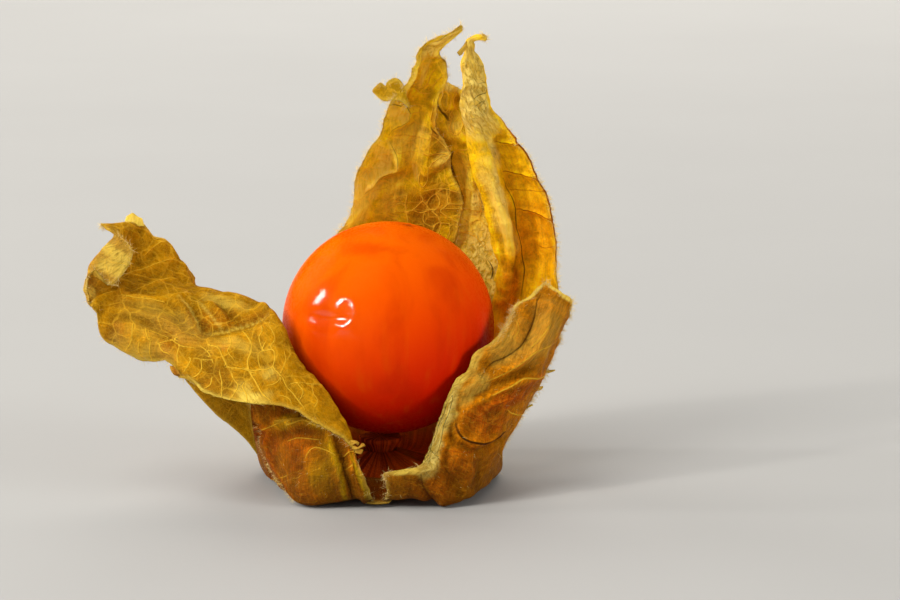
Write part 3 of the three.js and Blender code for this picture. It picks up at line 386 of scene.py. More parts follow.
            pale="""
.22 .7: 10 1.15, 9.7 1.85, 9.35 2.3, 9.05 2.4; 9.25 3.2, 8.9 3.35, 8.65 3.45
.22 .75: 12.95 3.25, 12.3 2.8, 11.8 2.65
.14 .8: 10 1.05, 9.6 1.95, 9.15 2.45, 9 2.5
.25 .55: 10.5 3.8, 9.95 3.65, 9.35 3.55
.25 .5: 10.35 3, 9.75 3, 9.25 3.05
1.2 .5: 10.2 2.4, 9.45 2.7
.3 .6: 9.5 5, 9.3 4.55, 9.1 4.1
.7 .8: 11.15 .3, 10.8 1.95, 10.6 1.5
.55 .9: 9.85 .35, 9.35 1.8, 9 1.7, 8.7 1.05
.14 1.4: 9 2.45, 8.85 1.75, 8.55 1.25, 8.15 .55
.8 1.2: 13.65 2.15, 14.2 3.4, 14.65 2.55, 14.95 2.1
.8 .5: 12.85 2.55, 12.4 2.2
.3 .55: 13.3 1, 12.3 .5, 11.6 .7
.6 .6: 9.5 5, 9.15 4.3
1.5 .35: 10.55 2.9, 9.6 2.85
1.4 .75: 7.35 .25, 8.1 .75, 8.85 1.65
1 .35: 7.4 2.45, 8.2 2.5, 8.75 2.7""",
            silver="""
.55 .9: 13.6 1.65, 14.1 2.65, 14.55 2.25, 14.95 2.1""",
            sun="""
.9 1.2: 11.15 .3, 10.8 1.95, 10.6 1.45
.8 1.3: 9.85 .5, 9.45 1.7, 9.1 1.85
2 .5: 7.25 .15, 7.75 1.55, 8.05 2.2""",
            warm="""
.5 .6: 10.95 4.7, 10.45 5, 9.95 5
2 .25: 8.4 3.95, 7.7 3.85, 7.1 4.8""",
            brown="""
.5 .8: 8.85 3.65, 8.5 3.65
.6 .7: 10.4 4.15, 10.15 4.15
.9 .55: 9.8 4.4, 9.65 4.8, 9.35 4.15
.4 .5: 11.85 3.7, 11.15 4.25
.16 .45: 10.45 3.25, 9.9 3.15, 9.35 3.2
2.1 .85: 7.5 3.15, 7.4 3.85, 7.7 4.35, 7.4 4.75
1 .6: 8.65 4.35, 8.2 4.05
.8 .5: 9.8 4.9, 10.15 4.85; 12.9 4.05, 12.65 4.8
.5 .5: 11.75 3.75, 11.15 4.25
.35 .5: 8.95 .5, 8.75 1.2
1 .8: 10 4.25, 9.65 4.95, 9.25 4.2
1.2 .6: 7.85 2.85, 8 3.6""",
            bald="""
.7 1: 11.6 4.45, 10.9 4.85, 10.15 5, 9.45 5, 8.4 5, 7.6 5, 6.95 5""")),
    "back": dict(joined=4, warmth=0, net=0.8, sun=0.95, tone=1.45,
        marks=marks(
            fold="""
.5 .35: 11 .9, 10.6 1.6, 10.05 1.35
.4 -.3: 11 2.15, 10.35 2.65, 9.85 2.05
.5 .3: 9.8 1.7, 9.45 2.25, 9.15 2.75
.45 .4: 10.05 .95, 9.6 1.25, 9.2 1.6
.6 -.3: 9 1.7, 8.25 1.35, 7.6 1.15, 6.95 1.15
.6 .3: 8.55 2.45, 7.75 2.1, 7 1.85""",
            vein="""
.1 .08 1: 10.7 .95, 10.4 .7, 10.1 1.25, 10.3 1.75, 10.65 1.8, 10.75 1.25; 10.8 2.5, 10.5 2.1, 10.2 2.3,
  10.4 2.9, 10.75 3.15, 10.8 2.5; 10.2 2.2, 10 1.7, 9.8 1.55
.09 .08 .9: 10.2 2.2, 9.95 2.6, 9.75 2.9
.1 .08 .9: 10.15 3.7, 9.85 3.25, 9.6 2.7, 9.5 2.3
.11 .08 1: 9.85 1.75, 9.6 1.5, 9.45 1.85, 9.55 2.55, 9.85 3, 10.05 2.5
.1 .07 .8: 9.55 2.55, 9.35 3.2, 9.15 3.6; 9 1.45, 9 2.3, 9.15 3.15; 8.55 1.3, 8.5 2.05, 8.65 2.95
.1 .07 .7: 7.85 1.15, 7.9 1.95, 7.85 2.75; 7.3 1, 7.4 1.8, 7.35 2.8, 7.45 3.75; 7.9 1.95, 7.6 1.7,
  7.35 1.8; 6.8 1.1, 6.85 1.8, 6.75 2.35
.1 .06 .9: 6.8 1.2, 6.8 1.7, 6.7 2.35, 6.5 3; 7.2 1.1, 7.05 1.75, 7.15 2.35, 6.95 3.05, 6.8 3.6; 7.05 1.75,
  6.85 2; 7.15 2.35, 7.5 2.55, 7.85 2.4""",
            rib="""
.15 -.14 1: .6 1, 5 1, 10 1.6; .6 2.6, 5 2.6, 10.5 2.4
.1 -.08 1: 3 1, 5 .3; 3 2.6, 5 3.6; 6 2.6, 8 1.5""",
            ink="""
.2 0 .75: 10.3 .25, 10.1 .85, 10 1.25, 9.85 1.5
.24 0 .8: 8.95 1.25, 8.65 .8, 8.4 .7, 8.2 .75
.1 0 .4: 8.2 .75, 7.9 .95, 7.5 1.2
.14 0 .8: 6.2 3.3, 6.05 3.55, 5.85 3.5
.12 0 .8: 5.4 3.15, 5.3 3.55""",
            pale="""
.6 1: 11 .5, 11 1.25, 11 2.25
1.2 .6: 7.2 1.2, 6.95 2.25, 6.45 3.2
.8 .5: 8.7 1.45, 8.1 1.25, 7.6 1.4
.8 .6: 9.8 2.1, 9.55 2.1
.8 .4: 7.6 1.15, 7.25 2
.1 .8: 7.15 1.05, 7.3 2, 7.35 2.8; 7.55 1.7, 7.5 2.35, 7.55 2.9""",
            silver="""
1.5 1: 6.55 2, 6.4 2.65, 6.05 3.25, 5.65 3.65, 5.25 4
1.3 .9: 6.8 3.2, 6.35 3.75, 5.85 4
.8 .6: 7.9 2.45, 7.4 2.7
.6 .7: 11 .55, 10.95 1.25, 11 2.25""",
            warm="""
.8 .15: 10.15 .75, 9.6 1.45, 9.15 1.8""",
            brown="""
.45 .6: 10.55 1.3, 10.25 1.35
.35 .6: 10.65 2.65, 10.35 2.5; 10.3 .6, 10.05 1.45, 9.65 1.65
.5 .6: 9.7 1.85, 9.6 2.25
.5 .5: 10.55 3.5, 9.7 3.3, 9.4 3.45
.3 .6: 9.3 3.45, 9 3.15, 8.6 3.3
.22 .6: 8.1 2.55, 7.75 2.7, 7.25 2.65
.14 .5: 6.8 1.1, 6.75 1.85, 6.65 2.45, 6.45 3.05
.6 .5: 9 3.15, 8.5 3.15
.6 .4: 10.95 3.05, 10.55 3.5""",
            bald="""
.8 1: 10.6 0, 10.1 .4, 9.4 .75, 8.85 .95, 8 .9, 7.35 1.2, 6.75 1.4""")),
    "back_right": dict(joined=3, warmth=0.04, net=0.4, sun=0.7, tone=1.85,
        left=(6, """-.3 .5 .5 .5 .5 .5 .5 .5 .5 .5 .5 .5 .33 -.3 -.3 -.3 -.3 -.3 -.3 -.3 -.3 -.3 -.3 .5 .88
            .51 .37 .22 .14 .17 .3 .5 .5 1 1"""),
        right=(5.6, """.5 .5 .08 .22 .04 -.18 -.26 -.18 -.17 -.24 -.36 -.45 -.53 -.49 -.37 -.46 -.62 -.65
            -.6 -.56 -.5 -.56 -.4 -.15 -.38 -.52 -.63 -.64 -.58 -.46 -.41 -.49 -.01 0 .11 .12 -.76"""),
        marks=marks(
            fold="""
.22 .1: 12.85 1.65, 12.8 4.05, 12.75 6
.2 .14: 12.45 1.7, 12.4 3.8, 12.4 6; 12.1 1.9, 12.05 3.85, 12.1 6
.22 .16: 11.75 2.05, 11.75 3.9, 11.7 5.75
.22 .14: 11.4 2.25, 11.4 3.5, 11.3 5.15
.22 .12: 11 2.45, 10.95 3.35, 10.85 4.55
.3 -.15: 13.4 2.85, 12.4 3.8, 11.5 3.7, 10.65 3.2
.35 .25: 8.65 1.8, 7.9 1.8, 7.2 1.85, 6.7 1.95
.3 -.2: 8.5 1.5, 7.75 1.55, 7.05 1.5, 6.3 1.55; 8.3 2.55, 7.7 2.7, 7.05 2.55, 6.3 2.45
.28 .2: 9.95 3.9, 9.95 5.25, 9.9 6
.26 .15: 8.95 3.35, 8.9 4.65, 8.85 5.75, 8.75 6; 7.85 3.15, 7.8 4.5, 7.7 5.6, 7.55 5.95
.8 -.2: 8.4 4.7, 7.65 4.4, 6.75 4.05, 6 3.9""",
            red="""
.09 .06 .8: 9.95 3.9, 9.95 5.25, 9.9 6
.1 .07 .9: 8.95 3.35, 8.9 4.65, 8.85 5.75, 8.75 6; 7.85 3.15, 7.8 4.5, 7.7 5.6, 7.55 5.95
.08 .05 .5: 8.4 3.05, 8.4 4.65, 8.45 6
.09 .05 .5: 6.85 4.45, 6.8 4.95, 6.85 5.8
.2 0 .9: 11.1 6, 10.35 6, 9.85 6, 9.1 6, 8.4 6, 7.6 6, 6.9 6, 6.15 5.85""",
            ink="""
.075 -.05 .1: 12.8 3.75, 12.8 4.8, 12.8 6; 13.15 3.65, 13.05 4.2, 13.1 5.2
.075 -.05 .15: 12.6 3.9, 12.6 4.9, 12.65 6
.075 -.05 .2: 12.35 3.95, 12.35 4.85, 12.55 6
.075 -.05 .25: 12.1 3.75, 12.2 4.95, 12.25 6; 11.6 4.75, 11.4 3.95, 11.25 3.15
.075 -.05 .35: 11.95 4.6, 12.1 5.7, 12.15 6
.075 -.05 .55: 11.55 2.9, 11.7 4.05, 11.8 4.85, 12 5.85
.075 -.05 .3: 11.25 2.5, 11.4 3.35, 11.45 4.05
.075 -.05 .08: 12.85 2.4, 12.15 2.85, 11.55 2.75, 11.2 2.8
.075 -.05 .12: 11.4 4.6, 11.25 4.3, 11.05 3.55
.12 -.03 .6: 8.75 3.05, 8.3 2.95, 7.95 3.05, 7.5 2.95, 6.85 3.05, 6.35 3.3, 6 3.25, 5.65 3.25""",
            pale="""
1.6 1.2: 12.85 2.4, 12.15 3.05, 11.35 2.95, 10.55 2.8
1 1.3: 13.65 4.15, 12.55 3.8, 11.65 3.75, 10.65 3.05
.6 1.1: 10.35 2.8, 9.7 2.95, 9.25 3.05
.8 1.2: 9.25 1.95, 8.35 1.95, 7.55 2.15, 6.9 2.4""",
            silver="""
1.5 1: 12.85 2.7, 12.2 3.35, 11.35 3.1, 10.5 3
1 1: 13.4 3.35, 12.55 3.55, 11.65 3.55, 10.5 3
.5 .8: 9.8 2.75, 9.4 3.1
.35 .6: 9.25 2.35, 8.45 2.25, 7.75 2.3""",
            warm="""
.9 .7: 6.55 1.95, 5.8 2.3, 5.25 2.6
2.5 .5: 8.25 4.9, 7.4 4.8, 6.4 4.35""",
            brown="""
.5 .5: 6.5 2.25, 6.05 2.45""")),
    "front_right": dict(joined=1, warmth=0, net=0.15, sun=0.22, tone=1.08,
        left=(2.4, """.3 .04 0 .36 .1 .02 -.3 -.54 0 -.18 -.07 .08 .33 .05 -.03 -.35 .64 -.04 0 -.52 -.69
            -.63 -.32 0 0 -.03 -.05 -.6 -.12 .17 .27 .23 .14 .13 .11"""),
        right=(2.2, """.04 .37 .24 -.29 .41 .91 .34 -.34 -.64 -.68 -.52 -.45 -.44 -.37 -.26 -.17 -.24 -.3
            -.26 .12 .09 -.01 .22 .71 .69 .66 .44 .05 -.3 -.33 -.05 .09 .07 -.01 -.1 -.15"""),
        marks=marks(
            fold="""
.7 .45: 10.35 4.3, 9.35 3.6, 8.6 3.3, 8.1 3.5, 7.6 3.95, 7.1 4.2
.6 -.4: 10.3 2.75, 9.1 2.45, 8.15 2.4, 7.6 3.1, 7 3.7
.6 -.35: 9.45 4.65, 8.8 4.05, 8.3 4, 7.8 4.25, 7.25 4.6
.5 -.3: 9.05 5, 8.4 4.6, 7.75 4.65, 7.3 4.8; 6.85 4.05, 6.55 4.35, 6.15 4.25
.5 .25: 9.1 4.55, 8.5 4.3, 8 4.45, 7.5 4.75
.5 .28: 8.45 1.75, 7.6 2.3, 6.9 2.95, 6.35 3.4
.5 -.5: 6.25 .05, 7 2.2, 6.6 2.95, 6.15 3.4, 5.7 3.85, 5.35 4.05, 4.9 3.85, 4.65 3.5, 4.5 2.95, 4.65 2.35,
  4.75 1.95
.45 .4: 5.3 4.35, 4.85 4.05, 4.35 3.45, 4.2 2.85, 4.25 2.05, 4.25 1.4
.5 .35: 7.3 1.55, 7.25 2.8, 6.8 3.35, 6.35 3.75, 5.95 4.15
.4 -.25: 5.5 3.45, 5.95 2.95, 6.2 1.85
.4 .2: 5.75 3.6, 6.2 3.2, 6.7 2.4
.4 -.22: 6.45 4.9, 5.85 4.65, 5.25 4.55, 4.55 4.35, 3.9 4.15, 3.45 4, 3.25 4.4, 3.15 4.85
.35 .2: 6.3 4.45, 5.75 4.25, 5.1 4.15, 4.4 4, 3.75 3.8, 1 1.9
.4 .3: 3.2 4.05, 1.15 3.15, 2 4
.6 -.25: 3.05 3.75, 1.3 2.95, 1.95 3.65
.9 -.3: 3.75 3.1, 3.05 2.95, 1.8 2.7
.7 .25: 3.45 3.55, 1.35 2.25, 1.8 3.2
.6 .2: 3.8 2.6, 3.15 2.6, 2.6 2.8""",
            vein="""
.12 -.08 .7: 8 .05, 8.15 2.1, 7.75 2.85, 7.2 3.4, 6.8 3.8
.12 -.08 .8: 6.25 0, 7.05 2.1, 6.7 2.8, 6.3 3.25
.09 -.06 .6: 8.35 3.85, 8.65 3.85, 8.85 4.3
.09 -.06 .5: 9.1 2.25, 8.6 2.5, 8.2 2.85
.1 -.06 .7: 4.85 .7, 5.4 1.9, 5.6 2.2
.06 -.04 .7: 6.1 5, 5.55 4.9, 5 4.95, 4.45 5, 3.85 4.85; 6.25 4.95, 5.7 4.75, 5.15 4.65, 4.65 4.7, 4.05 4.8""",
            red="""
.08 -.05 .5: 6.45 3, 6.05 2, 5.6 1; 5.45 3.5, 5.75 3.05, 6.15 2.55; 5.45 3.5, 5.25 2.95, 5 2.35
.08 -.04 .4: 4.45 4.25, 4.2 3.6, 4.15 3.1""",
            ink="""
.25 0 .6: 1.85 5, 2.05 4.9, 1.95 4.7
.13 .03 .5: 10.35 4.3, 9.75 3.9, 9.15 3.55, 8.5 3.35, 8.15 3.45, 7.8 3.7, 7.55 4, 7.25 4.15, 6.9 4.15
.17 .04 1: 5.3 4.15, 4.95 3.9, 4.7 3.6, 4.55 3.2, 4.5 2.75, 4.65 2.35, 4.75 2.05
.15 .03 .65: 3.1 4, 1.15 3.15, 1.45 3.55, 1.95 4
.08 .02 .15: 7.25 4.75, 7.05 4.45, 6.9 4.15
.07 .02 .12: 6.4 4.95, 6.65 4.7, 6.9 4.6
.07 .02 .15: 9.1 5, 9.5 5, 9.85 4.55, 10.55 4.45
.055 0 .5: 6.05 5, 5.45 5, 4.9 5, 4.25 5, 3.7 4.8; 5.65 5, 5.15 5, 4.6 5, .55 0
.06 0 .55: 6.3 4.9, 5.85 4.65, 5.25 4.6, 4.7 4.45, 4.1 4.3
.05 0 .45: 6.15 4.9, 5.65 4.85, 5.1 4.85, 4.5 4.9, 3.85 4.75
.05 0 .4: 5.95 5, 5.45 5, 4.95 5, 4.4 5, .5 1.5""",
            pale="""
.85 1.3: 6.35 5, 5.8 4.85, 5.25 4.85, 4.6 4.9, 3.95 4.75, 3.45 4.3
.3 1.1: 3.35 4.25, 3.2 4.65, 3.05 5
.45 1: 6.9 4.8, 6.6 5, 6.3 5
.2 1.4: 9.15 5, 9.5 5, 10.1 4.9, 11 5; 10.95 4.3, 10.95 2.25, 10.8 .4
.35 .7: 7.65 4.85, 7.35 4.85, 7.05 4.7
.6 .55: 6.85 4.45, 6.75 3.95, 6.35 4.15, 6 4.15
1.4 .35: 8.7 4.5, 8.1 4.25, 8.7 3.8
1.4 .3: 9.8 2.6, 8.7 2.2, 8 3.15""",
            silver="""
.65 1: 6.35 5, 5.85 4.8, 5.25 4.8, 4.6 4.75, 3.95 4.6, 3.45 4.2""",
            warm="""
.9 1: 5.2 3.75, 5.6 3.35, 5.9 2.7, 6.25 1.8, 6.5 1
.8 .8: 4.85 3.3, 5.2 2.8, 5.55 2.2
2 .6: 1.3 3.65, 2.8 3.5, 3.65 3.35, 3.95 2.65""",
            # The first brown mark paints shadow at the foot of the gap between the front lobes; the others are brown
            # paper.
            brown="""
.5 .9: 1.9 5, 2 4.8
.6 .5: 5.4 3.3, 5.7 2.65
.9 .5: 2.75 4.45, 2.75 4.05
2 .2: 4.05 3.55, 3.25 2.9, 1.6 2.6""",
            bald="""
1 1: .5 4.8, .8 4.75, 2.45 4.85, 1.9 5""")),
}
ORDER = list(LEAVES)
LINES = ("vein", "ink", "red", "rib")
PAINTS = LINES + ("pale", "warm", "brown", "silver", "hair", "sun", "bald")


# ---- numbers: splines, noise and cell nets. A salt picks one pattern out of many. ----
def spline(points, t):
    """Catmull-Rom curve through points (first axis), straight on past its ends."""
    points = np.asarray(points, float)
    last = len(points) - 1
    t = np.clip(np.asarray(t, float), 0, last - 1e-9)
    i = np.floor(t).astype(int)
    f = (t - i).reshape(-1, *[1] * (points.ndim - 1))
    padded = np.concatenate([[2 * points[0] - points[1]], points, [2 * points[-1] - points[-2]]])
    p0, p1, p2, p3 = (padded[i + k] for k in range(4))
    return p1 + 0.5 * f * ((p2 - p0) + f * ((2 * p0 - 5 * p1 + 4 * p2 - p3)
                                            + f * (3 * p1 - p0 - 3 * p2 + p3)))


def spline_sheet(rows, v, u):
    return spline(spline(rows, v).transpose(1, 0, 2), u).transpose(1, 0, 2)


def smooth(x, low=0.0, high=1.0):
    """A soft step from 0 at low to 1 at high."""
    x = np.clip((np.asarray(x, float) - low) / (high - low), 0, 1)
    return x * x * (3 - 2 * x)


def bell(x, width=1.0):
    return np.exp(-(x / width) ** 2)


def length(a):
    return np.linalg.norm(a, axis=-1)


def unit(a):
    return a / np.maximum(np.linalg.norm(a, axis=-1, keepdims=True), 1e-9)


def cell_random(x, y, z, salt):
    """A number from 0 to 1 for each whole-numbered cell."""
    word, first, second, third = (np.uint64(n) for n in (0xFFFFFFFF, 374761393, 668265263, 2246822519))
    h = (x.astype(np.uint64) * first + y.astype(np.uint64) * second + z.astype(np.uint64) * third
         + np.uint64(salt * 3266489917 % 4294967291)) & word
    h = ((h ^ (h >> np.uint64(15))) * third) & word
    h = ((h ^ (h >> np.uint64(13))) * np.uint64(3266489917)) & word
    return ((h ^ (h >> np.uint64(16))) & np.uint64(0xFFFFFF)) / float(0xFFFFFF)


def neighbours(low, high):
    steps = range(low, high)
    return [(dx, dy, dz) for dx in steps for dy in steps for dz in steps]


def noise(p, size, salt=0):
    """Smooth noise from -1 to 1 whose lumps are about size across."""
    q = p / size + 1000.0
    base = np.floor(q)
    f = smooth(q - base)
    c = base.astype(np.int64)
    total = 0.0
    for corner in neighbours(0, 2):
        w = 1.0
        for k, step in enumerate(corner):
            w = w * (f[..., k] if step else 1 - f[..., k])
        x, y, z = (c[..., k] + step for k, step in enumerate(corner))
        total = total + w * cell_random(x, y, z, salt)
    return 2 * total - 1


def cloud(p, size, salt=0):
    """Noise with finer noise on it."""
    return sum(noise(p, size / 2 ** k, salt + 31 * k) / 2 ** k for k in range(3)) / 1.6


def warped(p, amount, size, salt):
    return p + amount * np.stack([noise(p, size, salt + k) for k in range(3)], axis=-1)


def net_distance(p, size, salt=0):
    """Distance to the nearest wall of a jittered cell net whose cells are about size across."""
    q = p / size + 1000.0
    base = np.floor(q).astype(np.int64)
    nearest, second = np.full(q.shape[:-1], 9.0), np.full(q.shape[:-1], 9.0)
    for step in neighbours(-1, 2):
        x, y, z = (base[..., k] + step[k] for k in range(3))
        d = np.sqrt(sum((c + cell_random(x, y, z, salt + k) - q[..., k]) ** 2 for k, c in enumerate((x, y, z))))
        second = np.minimum(second, np.maximum(nearest, d))
        nearest = np.minimum(nearest, d)
    return (second - nearest) * size / 2


def blurred(a, k):
    """Moving average of a grid of values over 2k + 1 cells each way."""
    for axis in (0, 1):
        wide = np.pad(a, [(k + 1, k) if i == axis else (0, 0) for i in (0, 1)], mode="edge")
        total = np.cumsum(wide, axis=axis)
        first = np.arange(a.shape[axis])
        a = (total.take(first + 2 * k + 1, axis) - total.take(first, axis)) / (2 * k + 1)
    return a


# ---- the fine sheet of each lobe ----
def stations(rows, axis, cell, shared=()):
    """Parameter values along one axis, about one cell apart, and how many lie between two rows."""
    points = np.asarray(rows, float)
    fine = spline(points, np.linspace(0, len(points) - 1, 4 * len(points)))
    gaps = length(np.diff(points if axis == 0 else fine, axis=axis))
    counts = np.maximum(np.ceil(np.percentile(gaps, 80, axis=1 - axis) / cell).astype(int), 2)
    counts[:len(shared)] = shared
    parts = [np.linspace(k, k + 1, n, endpoint=False) for k, n in enumerate(counts)]
    return np.concatenate(parts + [[len(counts)]]), counts


def normals(p):
    return unit(np.cross(np.gradient(p, axis=1), np.gradient(p, axis=0)))


def weld(sheets, key, finish):
    """Gives two neighbouring lobes the same edge in the rows where they are one sheet."""
    for name, after in zip(ORDER, ORDER[1:] + ORDER[:1]):
        a, b = sheets[name], sheets[after]
        rows = a["joined_after"]
        middle = finish(0.5 * (a[key][:rows, -1] + b[key][:rows, 0]))
        for s, edge, fall in ((a, -1, smooth(a["u"] - a["u"][-1] + 1)), (b, 0, smooth(1 - b["u"]))):
            low = s[key][:rows]
            s[key][:rows] = finish(low + (middle - low[:, edge])[:, None] * fall[None, :, None])


def base_sheets():
    """The smooth sheets, with as many grid rows in the first rows of one lobe as in the next."""
    shared = np.max([stations(rows, 0, SHARED_CELL)[1][:SHARED_ROWS] for rows in LEAF_ROWS.values()], axis=0)
    sheets = {}
    for name, rows in LEAF_ROWS.items():
        cell = COARSE_CELL if name == "front_left" else FINE_CELL
        v, u = stations(rows, 0, cell, shared)[0], stations(rows, 1, cell)[0]
        sheets[name] = dict(u=u, v=v, p=spline_sheet(rows, v, u))
    for name, after in zip(ORDER, ORDER[1:] + ORDER[:1]):
        joined = int(np.searchsorted(sheets[name]["v"], LEAVES[name]["joined"] + 1e-6))
        sheets[name]["joined_after"] = sheets[after]["joined_before"] = joined
    weld(sheets, "p", lambda p: p)
    for s in sheets.values():
        s["n"] = normals(s["p"])
    weld(sheets, "n", unit)
    return sheets


def surface_point(s, row, column):
    """Point of a sheet at a fractional row and column."""
    i = np.clip(np.searchsorted(s["v"], row) - 1, 0, len(s["v"]) - 2)
    j = np.clip(np.searchsorted(s["u"], column) - 1, 0, len(s["u"]) - 2)
    f = np.clip((row - s["v"][i]) / (s["v"][i + 1] - s["v"][i]), 0, 1)[:, None]
    g = np.clip((column - s["u"][j]) / (s["u"][j + 1] - s["u"][j]), 0, 1)[:, None]
    low, high = (s["p"][k, j] * (1 - g) + s["p"][k, j + 1] * g for k in (i, i + 1))
    return low * (1 - f) + high * f


def mark_distance(s, points, reach):
    """Round a marked line: a block of the grid, its distance from the line, the place along it and the side."""
    points = np.asarray(points, float)
    path = spline(points, np.linspace(0, len(points) - 1, 5 * len(points)))
    line = surface_point(s, path[:, 0], path[:, 1])
    spread = 0.35 + 0.75 * reach
    block = []
    for k, stops in enumerate((s["v"], s["u"])):
        first, last = np.searchsorted(stops, [path[:, k].min() - spread, path[:, k].max() + spread])
        block.append(slice(first, max(last, first + 2)))
    block = tuple(block)
    q = s["p"][block]
    best, place, side = np.full(q.shape[:2], 99.0), np.zeros(q.shape[:2]), np.ones(q.shape[:2])
    count = len(line) - 1
    for k in range(count):
        a, d = line[k], line[k + 1] - line[k]
        f = np.clip(((q - a) @ d) / max(d @ d, 1e-9), 0, 1)
        off = q - a - f[..., None] * d
        gap = length(off)
        nearer = gap < best
        side = np.where(nearer, np.sign((np.cross(d, off) * s["n"][block]).sum(axis=-1)), side)
        best = np.where(nearer, gap, best)
        place = np.where(nearer, (k + f) / count, place)
    return block, best, place, side


def running_length(p, axis):
    steps = np.cumsum(length(np.diff(p, axis=axis)), axis=axis)
    return np.pad(steps, [(1, 0) if k == axis else (0, 0) for k in (0, 1)])


def torn(p, v, across, leaf, edges):
    """The sheet with its margins drawn in from the smooth edge, or out of it where the profile is negative."""
    moved = p.copy()
    room = smooth(across[:, -1:], 0.8, 3.0)
    for key, side, distance, fade, sign in edges:
        rim = p[:, side]
        bite = 0.10 * cloud(rim, 1.3, 5) + 0.07 * noise(rim, 0.45, 9)
        if key in leaf:
            start, profile = leaf[key]
            profile = np.array(profile.split(), float)
            bite += np.interp(v, start + EDGE_STEP * np.arange(len(profile)), profile, left=0.1, right=0.1)
        inward = unit(np.gradient(p, axis=1)[:, side] * sign)
        width = np.maximum(0.7, 2.0 * np.abs(bite))[:, None]
        push = bite[:, None] * fade * room * bell(distance, width)
        moved += inward[:, None] * push[..., None]
    return moved


def paint(s, leaf, shape):
    """The painted values over a lobe, the height of its folds and the relief of its lines."""
    painted = {key: np.zeros(shape) for key in PAINTS}
    painted.update({key + "_side": np.full(shape, 9.0) for key in LINES})
    fold, relief = np.zeros(shape), np.zeros(shape)
    for kind, (width, *sizes), points in leaf["marks"]:
        reach = LINE_REACH if kind in LINES else width * (1.6 if kind == "fold" else 1.4)
        block, d, place, side = mark_distance(s, points, reach)
        ends = smooth(np.minimum(place, 1 - place) * 2.2, -0.15, 0.6)
        if kind == "fold":
            fold[block] += 1.25 * sizes[0] * np.clip(1 - d / (1.7 * width), 0, 1) ** 1.35 * ends
            continue
        if kind in LINES:
            height, amount = sizes
            raised = 0.5 * height * bell(d, max(width, 0.12)) * (0.5 + 0.5 * ends)
            relief[block] = np.where(np.abs(raised) > np.abs(relief[block]), raised, relief[block])
            value = np.clip(1 - d / LINE_REACH, 0, 1) * (0.3 + 0.7 * amount) * (0.65 + 0.35 * ends)
            sides = painted[kind + "_side"]
            sides[block] = np.where(d / width < np.abs(sides[block]), side * d / width, sides[block])
        else:
            q = s["p"][block]
            wobble = 0.35 * noise(q, 1.1, 71) + 0.22 * noise(q, 0.45, 72)
            value = sizes[0] * smooth(1.45 - d / width + wobble, 0, 0.9) * (0.4 + 0.6 * ends)
        painted[kind][block] = np.maximum(painted[kind][block], value)
    return painted, fold, relief


